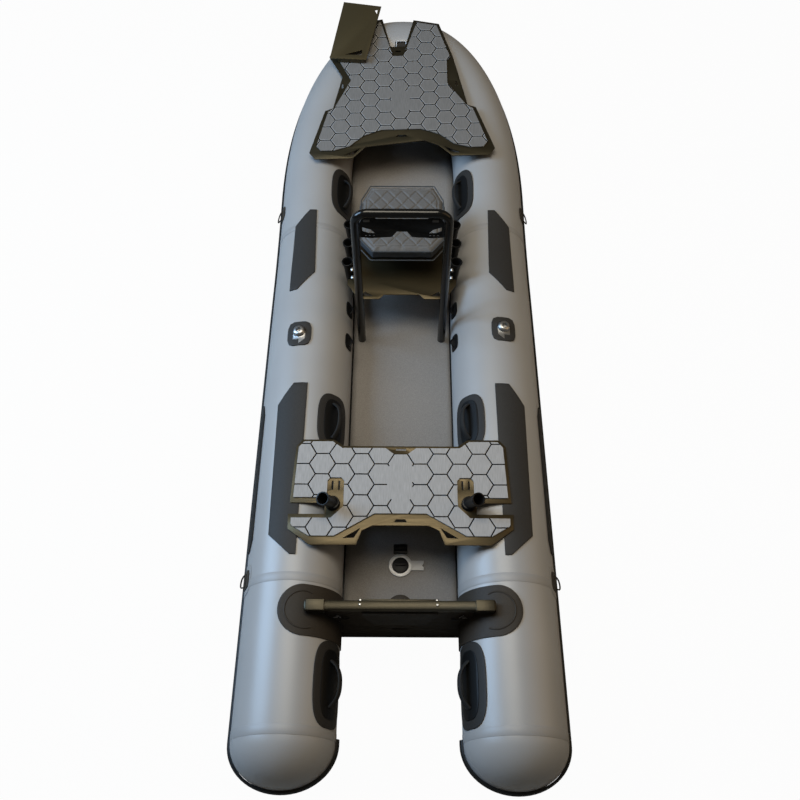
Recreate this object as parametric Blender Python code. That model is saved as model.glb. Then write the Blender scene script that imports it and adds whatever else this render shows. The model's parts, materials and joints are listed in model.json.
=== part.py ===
"""Inflatable fishing kayak: two air tubes joined round the bow, an air floor between them,
aluminium deck plates with foam pads, a swivel seat on a tube frame and a motor transom aft.

Metres, +Z up, +Y towards the bow, +X to starboard. Sizes are laid out from amidships of the hull,
and the whole kayak is then centred over the ground by the empty that carries it.
"""

import math

import bmesh
import bpy
from mathutils import Matrix, Vector

# Hull
HULL_LENGTH = 3.394
TUBE_R_STERN = 0.168
WELL_HALF_WIDTH = 0.202
TUBE_OUTER_X = WELL_HALF_WIDTH + 2 * TUBE_R_STERN
TUBE_R_FORE = 0.152
TUBE_R_NOSE = 0.136
TAPER_START_Y = 0.0
BOW_START_Y = 0.75
CHAMBER_JOINT_Y = 0.50
BOW_FULLNESS = 2.5
STERN_DOME = 0.137
RISE_START_Y = 0.30
BOW_RISE = 0.20
RISE_POWER = 1.6
TUBE_SIDES = 32
JOINT_STRAIGHT = 0.03

# Clearances
GAP = 0.0003
PATCH_GAP = 0.0009
FLOOR_CLEARANCE = 0.0012
FLOOR_BOW_CLEARANCE = 0.0045

# Air floor
FLOOR_THICKNESS = 0.10
FLOOR_BOTTOM = 0.022
FLOOR_AFT_Y = -1.150
FLOOR_NOSE_GAP = 0.04
FLOOR_TOP = FLOOR_BOTTOM + FLOOR_THICKNESS

# Plates and pads
PLATE = 0.004
PAD = 0.006
PATCH = 0.003
CHAFE = 0.003

# Rubbing strake
STRAKE_WIDTH = 0.030
STRAKE_DEPTH = 0.010
STRAKE_INNER_END_Y = -1.545

# Transom
TRANSOM_THICKNESS = 0.028
TRANSOM_BOTTOM = 0.030
TRANSOM_TOP = 2 * TUBE_R_STERN - 0.010
TRANSOM_MAX_HALF = 0.240
BAR_LENGTH = 0.622
BAR_DEPTH = 0.032
BAR_HEIGHT = 0.028
BAR_EDGE = 0.004
SLEEVE_LENGTH = 0.062
SLEEVE_WALL = 0.003
WRAP_HALF_LENGTH = 0.085
WRAP_MIDDLE_Y = FLOOR_AFT_Y - 0.021

# Front deck, in its own plane: across, and forward from its after edge
FRONT_DECK_Y = 0.850
FRONT_DECK_SLOPE = math.atan(0.14)
FRONT_DECK_TURN = math.radians(2.2)
FRONT_DECK_X = 0.0
FRONT_DECK_SETTLE = 0.0003
MOUNT_PLATE_LIFT = 0.031
MOUNT_FOOT_WIDTH = 0.120
MOUNT_FOOT_PLACE = (-0.222, 0.5445)
MOUNT_PILLAR_R = 0.009
MOUNT_PILLAR_PLACES = ((-0.205, 0.700), (-0.118, 0.700))

# Seat
SEAT_FRAME_TUBE_R = 0.016
LEG_X = WELL_HALF_WIDTH - 0.037
HOOP_Y = 0.045
HOOP_TOP = 0.892
HOOP_BEND = 0.045
FRONT_LEG_Y = 0.500
FRAME_RAIL_R = 0.0125
PLATFORM_TOP = 0.320
SEAT_CENTRE_Y = 0.405
CUSHION_BOTTOM = 0.410
CUSHION_HEIGHT = 0.062
CUSHION_HALF_WIDTH = 0.178
CUSHION_HALF_LENGTH = 0.186
CUSHION_CHAMFER_X = 0.058
CUSHION_CHAMFER_Y = 0.082
SWIVEL_R = 0.080
SWIVEL_BASE_HEIGHT = 0.030

# Rod holders
ROD_BORE_R = 0.0175
ROD_TUBE_R = 0.0205
ROD_RACK_Y = (0.238, 0.338, 0.438)
ROD_RACK_TOP = PLATFORM_TOP + 0.074
ROD_RACK_LEAN = math.radians(6.0)
ROD_RACK_LENGTH = 0.128
ROD_RACK_TUBE_CLEARANCE = 0.0186
ROD_RACK_WALL_LENGTH = 0.244

COLOURS = {
    "pvc_grey": ((0.262, 0.258, 0.252), 0.42, 0.0),
    "pvc_dark": ((0.048, 0.045, 0.038), 0.55, 0.0),
    "floor_grey": ((0.110, 0.110, 0.106), 0.60, 0.0),
    "rubber_black": ((0.012, 0.012, 0.013), 0.50, 0.0),
    "bronze_plate": ((0.125, 0.092, 0.045), 0.38, 0.9),
    "foam_grey": ((0.330, 0.340, 0.345), 0.75, 0.0),
    "seat_vinyl": ((0.150, 0.152, 0.156), 0.60, 0.0),
    "tube_black": ((0.010, 0.010, 0.011), 0.25, 0.0),
    "moulded_black": ((0.015, 0.015, 0.016), 0.45, 0.0),
    "chrome": ((0.75, 0.75, 0.77), 0.15, 1.0),
}

PORT, STARBOARD = -1, 1
SIDES = (("port", PORT), ("starboard", STARBOARD))


def clear_scene():
    for obj in list(bpy.data.objects):
        bpy.data.objects.remove(obj, do_unlink=True)


def make_collection(name):
    collection = bpy.data.collections.new(name)
    bpy.context.scene.collection.children.link(collection)
    return collection


def material_for(part_name, slot):
    colour, roughness, metallic = COLOURS[slot]
    material = bpy.data.materials.new(part_name + "_" + slot)
    material.use_nodes = True
    shader = material.node_tree.nodes["Principled BSDF"]
    shader.inputs["Base Color"].default_value = (*colour, 1.0)
    shader.inputs["Roughness"].default_value = roughness
    shader.inputs["Metallic"].default_value = metallic
    return material


def link_solid(name, mesh, slot):
    """The mesh as a finished part, smooth on its round faces."""
    mesh.materials.clear()
    mesh.materials.append(material_for(name, slot))
    mesh.shade_smooth()
    mesh.set_sharp_from_angle(angle=math.radians(32))
    obj = bpy.data.objects.new(name, mesh)
    parts.objects.link(obj)
    obj.parent = datum
    return obj


def helper(name, data):
    obj = bpy.data.objects.new(name, data)
    parts.objects.link(obj)
    return obj


def welded(mesh):
    bm = bmesh.new()
    bm.from_mesh(mesh)
    bmesh.ops.remove_doubles(bm, verts=bm.verts, dist=2e-6)
    bmesh.ops.recalc_face_normals(bm, faces=bm.faces)
    bm.to_mesh(mesh)
    bm.free()
    return mesh


def baked(obj):
    """A helper object as a welded world-space mesh; the helper goes."""
    bpy.context.view_layer.update()
    graph = bpy.context.evaluated_depsgraph_get()
    mesh = bpy.data.meshes.new_from_object(obj.evaluated_get(graph))
    mesh.transform(obj.matrix_world)
    bpy.data.objects.remove(obj, do_unlink=True)
    return welded(mesh)


def boolean(base, others, operation):
    """Meshes joined to, or cut from, the first one."""
    target = helper("boolean_base", base)
    tools = [helper("boolean_tool", mesh) for mesh in others]
    for tool in tools:
        modifier = target.modifiers.new("boolean", "BOOLEAN")
        modifier.operation = operation
        modifier.object = tool
    result = baked(target)
    for tool in tools:
        bpy.data.objects.remove(tool, do_unlink=True)
    return result


def union(*meshes):
    return boolean(meshes[0], meshes[1:], "UNION")


def difference(base, *cutters):
    return boolean(base, cutters, "DIFFERENCE")


def placed(mesh, matrix):
    mesh.transform(matrix)
    return mesh


def at(x, y, z):
    return Matrix.Translation((x, y, z))


def box(size, centre, bevel=0.0, segments=2):
    bm = bmesh.new()
    bmesh.ops.create_cube(bm, size=1.0)
    bmesh.ops.scale(bm, verts=bm.verts, vec=size)
    bmesh.ops.translate(bm, verts=bm.verts, vec=centre)
    if bevel:
        bmesh.ops.bevel(
            bm, geom=bm.edges[:], offset=bevel, segments=segments, profile=0.5, affect="EDGES"
        )
    mesh = bpy.data.meshes.new("box")
    bm.to_mesh(mesh)
    bm.free()
    return mesh


def cylinder(radius, height, centre, segments=24, radius_top=None):
    bm = bmesh.new()
    bmesh.ops.create_cone(
        bm,
        cap_ends=True,
        segments=segments,
        radius1=radius,
        radius2=radius if radius_top is None else radius_top,
        depth=height,
    )
    bmesh.ops.translate(bm, verts=bm.verts, vec=centre)
    mesh = bpy.data.meshes.new("cylinder")
    bm.to_mesh(mesh)
    bm.free()
    return mesh


def flat_outline(loops, thickness, z_bottom):
    """A plate cut to the first loop, with the others as holes through it."""
    curve = bpy.data.curves.new("outline", "CURVE")
    curve.dimensions = "2D"
    curve.fill_mode = "BOTH"
    curve.extrude = thickness / 2
    for loop in loops:
        spline = curve.splines.new("POLY")
        spline.points.add(len(loop) - 1)
        for point, (x, y) in zip(spline.points, loop):
            point.co = (x, y, 0.0, 1.0)
        spline.use_cyclic_u = True
    obj = helper("outline", curve)
    obj.location.z = z_bottom + thickness / 2
    return baked(obj)


def swept_tube(points, radii, sides, cyclic=False):
    """A round tube along the points, with its own radius at each."""
    curve = bpy.data.curves.new("tube", "CURVE")
    curve.dimensions = "3D"
    curve.fill_mode = "FULL"
    curve.bevel_depth = 1.0
    curve.bevel_resolution = sides // 2 - 2
    curve.use_fill_caps = not cyclic
    spline = curve.splines.new("POLY")
    spline.points.add(len(points) - 1)
    for point, place, radius in zip(spline.points, points, radii):
        point.co = (*place, 1.0)
        point.radius = radius
    spline.use_cyclic_u = cyclic
    return baked(helper("tube", curve))


def loft(rings, cyclic_ends=False):
    """Rings with the same number of points skinned in order, and capped unless they close."""
    bm = bmesh.new()
    made = [[bm.verts.new(point) for point in ring] for ring in rings]
    count = len(made[0])
    pairs = list(zip(made, made[1:]))
    if cyclic_ends:
        pairs.append((made[-1], made[0]))
    for first, second in pairs:
        for i in range(count):
            j = (i + 1) % count
            bm.faces.new((first[i], first[j], second[j], second[i]))
    if not cyclic_ends:
        bm.faces.new(reversed(made[0]))
        bm.faces.new(made[-1])
    bmesh.ops.recalc_face_normals(bm, faces=bm.faces)
    mesh = bpy.data.meshes.new("loft")
    bm.to_mesh(mesh)
    bm.free()
    return mesh


def turned(profile, segments=28):
    """A closed (radius, height) profile turned about Z."""
    rings = []
    for step in range(segments):
        angle = 2 * math.pi * step / segments
        rings.append([(r * math.cos(angle), r * math.sin(angle), z) for r, z in profile])
    return loft(rings, cyclic_ends=True)


def mirrored(points):
    """Half an outline, from the centreline round to it again, and its mirror image."""
    return list(points) + [(-x, y) for x, y in reversed(points) if abs(x) > 1e-9]


def arc(centre, radius, start, end, steps):
    """Points on an arc in degrees, in the plane of an outline."""
    return [
        (
            centre[0] + radius * math.cos(math.radians(start + (end - start) * k / steps)),
            centre[1] + radius * math.sin(math.radians(start + (end - start) * k / steps)),
        )
        for k in range(steps + 1)
    ]


def smooth(t):
    t = min(max(t, 0.0), 1.0)
    return t * t * (3 - 2 * t)


STERN_Y = -HULL_LENGTH / 2
NOSE_Y = HULL_LENGTH / 2
DOME_START_Y = STERN_Y + STERN_DOME


def hull_radius(y):
    """Tube radius of the side runs, before the tube turns round the bow."""
    share = smooth((y - TAPER_START_Y) / (BOW_START_Y - TAPER_START_Y))
    return TUBE_R_STERN + (TUBE_R_FORE - TUBE_R_STERN) * share


def hull_rise(y):
    t = (y - RISE_START_Y) / (NOSE_Y - RISE_START_Y)
    return BOW_RISE * max(t, 0.0) ** RISE_POWER


def upright_stretch(y):
    """How much taller than round a tube standing square to its rising run is, cut across the hull."""
    slope = (hull_rise(y + 0.01) - hull_rise(y - 0.01)) / 0.02
    return math.sqrt(1 + slope**2)


def outer_x(y):
    """Half breadth of the hull, following a superellipse round the bow."""
    t = (y - BOW_START_Y) / (NOSE_Y - BOW_START_Y)
    if t <= 0:
        return TUBE_OUTER_X
    return TUBE_OUTER_X * (1 - min(t, 1.0) ** BOW_FULLNESS) ** (1 / BOW_FULLNESS)


def tube_centre(y, side):
    radius = hull_radius(y)
    return Vector((side * (outer_x(y) - radius), y, radius + hull_rise(y)))


def bow_station(angle):
    """Centre, outward normal and radius of the bow tube, from 0 at starboard to pi at port."""
    power = 2 / BOW_FULLNESS
    cosine, sine = math.cos(angle), math.sin(angle)
    depth = NOSE_Y - BOW_START_Y
    x = TUBE_OUTER_X * math.copysign(abs(cosine) ** power, cosine)
    y = BOW_START_Y + depth * abs(sine) ** power
    share = abs(sine) ** power
    slope_x = math.copysign(abs(x / TUBE_OUTER_X) ** (BOW_FULLNESS - 1), x) / TUBE_OUTER_X
    slope_y = ((y - BOW_START_Y) / depth) ** (BOW_FULLNESS - 1) / depth
    normal = Vector((slope_x, slope_y, 0.0)).normalized()
    radius = TUBE_R_FORE + (TUBE_R_NOSE - TUBE_R_FORE) * share
    centre = Vector((x, y, 0.0)) - normal * radius
    centre.z = radius + hull_rise(y)
    return centre, normal, radius


BOW_STEPS = 10


def bow_half_angles():
    """Angles that space the stations evenly enough round a blunt superellipse, up to the nose."""
    return [0.014] + [math.pi / 2 * (k / BOW_STEPS) ** 1.35 for k in range(1, BOW_STEPS + 1)]


def make_side_tubes():
    for label, side in SIDES:
        joint = CHAMBER_JOINT_Y - GAP / 2
        stations = [DOME_START_Y - STERN_DOME * math.sin(math.radians(a)) for a in (86, 75, 62, 48, 33, 17)]
        stations += [DOME_START_Y, -0.8, TAPER_START_Y, 0.15, 0.30, 0.40]
        stations += [joint - JOINT_STRAIGHT, joint]
        end = tube_centre(CHAMBER_JOINT_Y, side)
        end_radius = hull_radius(CHAMBER_JOINT_Y)
        points, radii = [], []
        for y in stations:
            centre, radius = tube_centre(y, side), hull_radius(y)
            if y >= joint - JOINT_STRAIGHT:
                centre, radius = Vector((end.x, y, end.z)), end_radius
            if y < DOME_START_Y:
                radius *= math.sqrt(max(1 - ((DOME_START_Y - y) / STERN_DOME) ** 2, 0.0))
            points.append(centre)
            radii.append(radius)
        link_solid("tube_" + label, swept_tube(points, radii, TUBE_SIDES), "pvc_grey")


def bow_path():
    """Stations of the bow tube from the starboard chamber joint round to the port one."""
    start = CHAMBER_JOINT_Y + GAP / 2
    end_radius = hull_radius(CHAMBER_JOINT_Y)
    starboard = []
    for y in (start, start + JOINT_STRAIGHT):
        end = tube_centre(CHAMBER_JOINT_Y, STARBOARD)
        starboard.append((Vector((end.x, y, end.z)), Vector((1, 0, 0)), end_radius))
    for y in (0.62, 0.70):
        starboard.append((tube_centre(y, STARBOARD), Vector((1, 0, 0)), hull_radius(y)))
    port = [
        (Vector((-c.x, c.y, c.z)), Vector((-1, 0, 0)), radius) for c, _, radius in reversed(starboard)
    ]
    half = bow_half_angles()
    angles = half + [math.pi - angle for angle in reversed(half[:-1])]
    return starboard + [bow_station(angle) for angle in angles] + port


def make_bow_tube():
    path = bow_path()
    mesh = swept_tube([c for c, _, _ in path], [r for _, _, r in path], TUBE_SIDES)
    link_solid("tube_bow", mesh, "pvc_grey")


def inner_half_width(y, height):
    """Half breadth between the tubes at a height above the local keel line."""

    def reach(radius):
        return math.sqrt(max(radius**2 - (radius - height) ** 2, 0.0))

    if y <= BOW_START_Y:
        radius = hull_radius(y)
        return abs(tube_centre(y, STARBOARD).x) - reach(radius)
    inside = []
    for k in range(0, 61):
        centre, normal, radius = bow_station(math.pi / 2 * k / 60)
        point = centre - normal * reach(radius)
        inside.append((point.y, point.x))
    for (y0, x0), (y1, x1) in zip(inside, inside[1:]):
        if y0 <= y <= y1:
            return x0 + (x1 - x0) * (y - y0) / max(y1 - y0, 1e-9)
    return 0.0


def floor_edge_profile():
    """Half of the floor's section: how far each point lies inside its widest point, and its height."""
    half = FLOOR_THICKNESS / 2
    return [
        (half * (1 - math.cos(math.radians(a))), FLOOR_BOTTOM + half + half * math.sin(math.radians(a)))
        for a in (-90, -60, -35, -12, 12, 35, 60, 90)
    ]


def floor_half_width(y):
    """The widest floor that keeps clear of the tubes at every height of its rounded edge."""
    widths = [inner_half_width(y, height) + inset for inset, height in floor_edge_profile()]
    return min(widths) - FLOOR_CLEARANCE - FLOOR_BOW_CLEARANCE * smooth((y - RISE_START_Y) / 0.5)


def make_floor():
    depth = 2 * TUBE_R_NOSE + FLOOR_NOSE_GAP
    nose = NOSE_Y - depth
    stations = [FLOOR_AFT_Y, -0.6, 0.0, 0.25, 0.45, 0.6, 0.75]
    stations += [0.75 + (nose - 0.75) * k / 7 for k in range(1, 8)]
    profile = floor_edge_profile()
    rings = []
    for y in stations:
        width = floor_half_width(y)
        rise = hull_rise(y)
        right = [(width - inset, y, height + rise) for inset, height in profile]
        left = [(-x, y, z) for x, y, z in reversed(right)]
        rings.append(right + left)
    link_solid("floor_panel", loft(rings), "floor_grey")


def tube_point(y, side, angle, offset):
    """A point at an angle from the crown of the side tube, positive outboard."""
    centre, radius = tube_centre(y, side), hull_radius(y)
    turn = math.radians(angle)
    return Vector(
        (
            centre.x + side * (radius + offset) * math.sin(turn),
            y,
            centre.z + (radius + offset) * upright_stretch(y) * math.cos(turn),
        )
    )


def wrap_patch(side, stations, thickness, offset=PATCH_GAP, steps=6):
    """A sheet bonded round a side tube. Each station is (y, first angle, last angle)."""
    rings = []
    for y, first, last in stations:
        angles = [first + (last - first) * k / steps for k in range(steps + 1)]
        under = [tube_point(y, side, angle, offset) for angle in angles]
        over = [tube_point(y, side, angle, offset + thickness) for angle in reversed(angles)]
        rings.append(under + over)
    return loft(rings)


def close_stations(stations, longest):
    """The same outline with stations added, so that no step along the tube is too long to follow it."""
    close = [stations[0]]
    for before, after in zip(stations, stations[1:]):
        swing = max(abs(after[1] - before[1]), abs(after[2] - before[2]))
        count = max(math.ceil((after[0] - before[0]) / longest), math.ceil(swing / 5.0))
        for k in range(1, count + 1):
            close.append(tuple(a + (b - a) * k / count for a, b in zip(before, after)))
    return close


def rounded_stations(y_centre, half_length, angle, half_angle, steps=8, power=4.0):
    """Stations of a patch with well rounded corners."""
    stations = []
    for k in range(steps + 1):
        s = -0.985 * math.cos(math.pi * k / steps)
        half = half_angle * (1 - abs(s) ** power) ** (1 / power)
        stations.append((y_centre + half_length * s, angle - half, angle + half))
    return stations


# Carry handles: name, middle, half length, angle from the crown, half angle
HANDLES = (
    ("front", 0.715, 0.110, -56.0, 27.0),
    ("middle", -0.448, 0.115, -44.0, 23.0),
    ("rear", FLOOR_AFT_Y - 0.242, 0.135, -60.0, 25.0),
)
HANDLE_GRIP_HALF = 0.072
HANDLE_GRIP_RISE = 0.034
HANDLE_GRIP_R = 0.0075
HANDLE_GRIP_END = 0.0066


def make_handles():
    for label, side in SIDES:
        for place, y, half_length, angle, half_angle in HANDLES:
            patch = wrap_patch(side, rounded_stations(y, half_length, angle, half_angle), PATCH)
            points = []
            for k in range(9):
                s = -math.cos(math.pi * k / 8)
                lift = HANDLE_GRIP_RISE * (1 - abs(s) ** 2.6) + HANDLE_GRIP_END
                points.append(tube_point(y + HANDLE_GRIP_HALF * s, side, angle, lift))
            grip = swept_tube(points, [HANDLE_GRIP_R] * len(points), 8)
            link_solid("carry_handle_" + place + "_" + label, union(patch, grip), "rubber_black")


# Chafe strips: name, then (y, inner angle, outer angle)
CHAFE_STRIPS = (
    ("front", ((0.148, 18.0, 30.0), (0.236, -6.0, 30.0), (0.502, -6.0, 28.0), (0.582, -6.0, 5.0))),
    ("rear", ((-0.985, -6.0, 1.5), (-0.909, -6.0, 29.0), (-0.391, -6.0, 32.0), (-0.305, -6.0, 12.0))),
)
SIDE_PANEL = ((-0.940, 66.0, 77.0), (-0.900, 60.0, 83.5), (-0.400, 60.0, 83.5), (-0.350, 66.0, 77.0))


def make_tube_patches():
    for label, side in SIDES:
        for place, stations in CHAFE_STRIPS:
            mesh = wrap_patch(side, close_stations(stations, 0.042), CHAFE, steps=4)
            link_solid("chafe_strip_" + place + "_" + label, mesh, "pvc_dark")
        panel = wrap_patch(side, close_stations(SIDE_PANEL, 0.2), PATCH, steps=5)
        link_solid("side_panel_" + label, panel, "pvc_dark")
        wrap = []
        for k in range(11):
            s = -0.985 * math.cos(math.pi * k / 10)
            y = WRAP_MIDDLE_Y + s * WRAP_HALF_LENGTH
            corner = 26.0 * (1 - (1 - abs(s) ** 3.5) ** (1 / 3.5))
            wrap.append((y, -100.0, 22.0 - corner))
        link_solid("transom_wrap_" + label, wrap_patch(side, wrap, PATCH, steps=17), "pvc_dark")


# Rowlock sockets: side and middle
OARLOCK_Y = {"port": -0.078, "starboard": -0.052}
OARLOCK_ANGLE = 10.0


def make_oarlocks():
    for label, side in SIDES:
        y = OARLOCK_Y[label]
        patch = wrap_patch(side, rounded_stations(y, 0.056, OARLOCK_ANGLE, 16.0, steps=6), 0.005, steps=4)
        place = tube_point(y + 0.008, side, OARLOCK_ANGLE, PATCH_GAP + 0.002)
        lean = Matrix.Rotation(side * math.radians(OARLOCK_ANGLE), 4, "Y")
        profile = ((0.010, 0.0), (0.026, 0.0), (0.024, 0.010), (0.019, 0.016), (0.010, 0.018))
        socket = placed(turned(profile, 20), Matrix.Translation(place) @ lean)
        link_solid("oarlock_socket_" + label, union(patch, socket), "moulded_black")


# Side D-rings: name, middle and angle from the crown
D_RINGS = (("front", 0.640, 70.0), ("rear", -1.041, 70.0))
D_RING_WIRE_R = 0.0028


def d_ring_mesh(place, side, y, angle):
    """A bonded patch with the bar of a D-ring in its loop, the ring hanging down the tube."""
    patch = wrap_patch(side, rounded_stations(y, 0.034, angle, 11.0, steps=6), PATCH, steps=4)
    points = []
    for k in range(9):
        turn = math.pi * k / 8
        along = 0.022 * math.cos(turn)
        drop = 16.0 * math.sin(turn)
        lift = PATCH_GAP + PATCH + 0.0012 + 0.013 * math.sin(turn)
        points.append(tube_point(y + along, side, angle + drop, lift))
    ring = swept_tube(points, [D_RING_WIRE_R] * len(points), 6, cyclic=True)
    return union(patch, ring)


def make_d_rings():
    for label, side in SIDES:
        for place, y, angle in D_RINGS:
            link_solid("d_ring_" + place + "_" + label, d_ring_mesh(place, side, y, angle), "pvc_dark")


def strake_path(side):
    """Points and outward normals of the widest line of one side, from inside the stern to the nose."""
    line = []
    centre, radius = tube_centre(DOME_START_Y, side), hull_radius(DOME_START_Y)
    inner = Vector((-side, 0, 0))
    line.append((Vector((centre.x, STRAKE_INNER_END_Y, centre.z)) + inner * radius, inner))
    for k in range(0, 17):
        turn = math.pi * (1 - k / 16)
        point = Vector(
            (
                centre.x + side * radius * math.cos(turn),
                DOME_START_Y - STERN_DOME * math.sin(turn),
                centre.z,
            )
        )
        normal = Vector((side * math.cos(turn) / radius, -math.sin(turn) / STERN_DOME, 0)).normalized()
        line.append((point, normal))
    outward = Vector((side, 0, 0))
    for y in (-0.8, 0.0, 0.15, 0.30, 0.40, 0.50, 0.62, 0.70):
        line.append((tube_centre(y, side) + outward * hull_radius(y), outward))
    for angle in bow_half_angles():
        centre, normal, radius = bow_station(angle)
        centre = Vector((side * centre.x, centre.y, centre.z))
        normal = Vector((side * normal.x, normal.y, 0.0))
        line.append((centre + normal * radius, normal))
    return line


def make_strakes():
    half = STRAKE_WIDTH / 2
    section = ((0.0, -half), (0.55, -0.8 * half), (1.0, -0.3 * half), (1.0, 0.3 * half), (0.55, 0.8 * half), (0.0, half))
    for label, side in SIDES:
        line = strake_path(side)
        nose, normal = line[-1]
        line[-1] = (Vector((side * GAP, nose.y, nose.z)), Vector((0, 1, 0)))
        rings = []
        for point, normal in line:
            rings.append(
                [
                    point + normal * (PATCH_GAP + depth * STRAKE_DEPTH) + Vector((0, 0, height))
                    for depth, height in section
                ]
            )
        link_solid("rub_strake_" + label, loft(rings), "rubber_black")


def tube_clear_x(z, clearance):
    """Half breadth between the side tubes at a height, aft, less a clearance."""
    centre, radius = tube_centre(FLOOR_AFT_Y, STARBOARD), hull_radius(FLOOR_AFT_Y) + clearance
    return centre.x - math.sqrt(max(radius**2 - (z - centre.z) ** 2, 0.0))


TRANSOM_FRONT_Y = FLOOR_AFT_Y - GAP
TRANSOM_REAR_Y = TRANSOM_FRONT_Y - TRANSOM_THICKNESS
TRANSOM_MID_Y = (TRANSOM_FRONT_Y + TRANSOM_REAR_Y) / 2


def bar_rest():
    """Height of the wraps under the ends of the cross bar, which lies on them."""
    centre = tube_centre(TRANSOM_MID_Y, STARBOARD)
    reach = TUBE_R_STERN + PATCH_GAP + PATCH
    return centre.z + math.sqrt(reach**2 - (centre.x - BAR_LENGTH / 2 + BAR_EDGE) ** 2) + GAP


BAR_BOTTOM = bar_rest()


def upright(mesh, y_front):
    """Stands a plate outline drawn in (x, z) up, with its first face at y_front."""
    return placed(mesh, at(0, y_front, 0) @ Matrix.Rotation(math.radians(90), 4, "X"))


def make_transom():
    edge = PATCH_GAP + PATCH + PATCH_GAP
    heights = [TRANSOM_BOTTOM + (TRANSOM_TOP - TRANSOM_BOTTOM) * k / 14 for k in range(15)]
    side_line = [(min(tube_clear_x(z, edge), TRANSOM_MAX_HALF), z) for z in heights]
    outline = side_line + [(-x, z) for x, z in reversed(side_line)]
    slot = [
        (0.030 * math.cos(a), FLOOR_TOP + 0.014 + 0.009 * math.sin(a))
        for a in [2 * math.pi * k / 16 for k in range(16)]
    ]
    board = flat_outline([outline, slot], TRANSOM_THICKNESS, 0.0)
    link_solid("transom_board", upright(board, TRANSOM_FRONT_Y), "pvc_grey")

    bar_middle = Vector((0, TRANSOM_MID_Y, BAR_BOTTOM + BAR_HEIGHT / 2))
    bar = box((BAR_LENGTH, BAR_DEPTH, BAR_HEIGHT), bar_middle, bevel=BAR_EDGE)
    sleeves = []
    for side in (PORT, STARBOARD):
        middle = bar_middle + Vector((side * (BAR_LENGTH / 2 - SLEEVE_LENGTH / 2 - BAR_EDGE), 0, 0))
        size = (SLEEVE_LENGTH, BAR_DEPTH + 2 * SLEEVE_WALL, BAR_HEIGHT + SLEEVE_WALL)
        sleeves.append(box(size, middle + Vector((0, 0, SLEEVE_WALL / 2)), bevel=0.002, segments=1))
    link_solid("transom_bar", union(bar, *sleeves), "bronze_plate")

    top = BAR_BOTTOM - 0.004
    pad = mirrored(((0.124, top), (0.124, top - 0.020), (0.086, top - 0.116), (0.0, top - 0.116)))
    pad_mesh = flat_outline([pad], 0.008, 0.0)
    link_solid("transom_motor_pad", upright(pad_mesh, TRANSOM_REAR_Y - GAP), "moulded_black")
    plate = mirrored(((0.129, top), (0.129, top - 0.036), (0.100, top - 0.101), (0.0, top - 0.101)))
    plate_mesh = flat_outline([plate], PLATE, 0.0)
    link_solid("transom_front_plate", upright(plate_mesh, TRANSOM_FRONT_Y + PLATE + GAP), "bronze_plate")


# Rear deck, half outlines from the centreline at its fore edge round to the after edge
REAR_SLOT_FRONT = -0.800
REAR_SLOT_BACK = -0.842
REAR_SLOT_END = 0.262
REAR_DECK_HALF = (
    (0.0, -0.578),
    (0.205, -0.578),
    (0.240, -0.552),
    (0.352, -0.552),
    (0.376, -0.580),
    (0.384, REAR_SLOT_FRONT),
    (REAR_SLOT_END, REAR_SLOT_FRONT),
    (REAR_SLOT_END, REAR_SLOT_BACK),
    (0.388, REAR_SLOT_BACK),
    (0.385, -0.897),
    (0.308, -0.954),
    (0.150, -0.954),
    (0.132, -0.902),
    (0.096, -0.884),
    (0.0, -0.884),
)
REAR_PAD_HALF = (
    (0.0, -0.611),
    (0.026, -0.611),
    (0.055, -0.588),
    (0.210, -0.588),
    (0.245, -0.562),
    (0.347, -0.562),
    (0.366, -0.584),
    (0.373, -0.782),
    (0.272, -0.782),
    (0.256, -0.764),
    (0.256, -0.718),
    (0.246, -0.706),
    (0.208, -0.706),
    (0.198, -0.718),
    (0.198, -0.815),
    (0.240, -0.858),
    (0.376, -0.858),
    (0.375, -0.886),
    (0.312, -0.924),
    (0.226, -0.924),
    (0.090, -0.842),
    (0.0, -0.842),
)
DECK_REST = 2 * TUBE_R_STERN + PATCH_GAP + CHAFE + GAP
REAR_HOLDER_X = 0.236
REAR_HOLDER_Y = -0.826


def slot_loop(x, y, half_x, half_y):
    return [(x - half_x, y - half_y), (x + half_x, y - half_y), (x + half_x, y + half_y), (x - half_x, y + half_y)]


def trapezoid_slot(y, half_long, half_short, half_depth):
    return [(-half_long, y - half_depth), (half_long, y - half_depth), (half_short, y + half_depth), (-half_short, y + half_depth)]


def make_rear_deck():
    holes = [trapezoid_slot(-0.866, 0.022, 0.016, 0.005), trapezoid_slot(-0.592, 0.018, 0.018, 0.004)]
    for side in (PORT, STARBOARD):
        holes.append([(side * 0.137, -0.893), (side * 0.158, -0.928), (side * 0.196, -0.930)])
        holes.append(slot_loop(side * 0.216, -0.733, 0.0030, 0.017))
        holes.append(slot_loop(side * 0.239, -0.733, 0.0030, 0.017))
    plate = flat_outline([mirrored(REAR_DECK_HALF)] + holes, PLATE, DECK_REST)
    link_solid("rear_deck_plate", plate, "bronze_plate")
    pad = flat_outline([mirrored(REAR_PAD_HALF)], PAD, DECK_REST + PLATE + GAP)
    link_solid("rear_deck_pad", pad, "foam_grey")


def holder_profile(length, bottom):
    """Section of a rod holder's tube: a flared mouth, an open bore and a closed bottom."""
    return (
        (0.0, 0.0),
        (ROD_TUBE_R, 0.0),
        (ROD_TUBE_R, length - 0.012),
        (ROD_TUBE_R + 0.0035, length - 0.008),
        (ROD_TUBE_R + 0.0035, length),
        (ROD_BORE_R + 0.002, length),
        (ROD_BORE_R, length - 0.008),
        (ROD_BORE_R, bottom),
        (0.0, bottom),
    )


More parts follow.
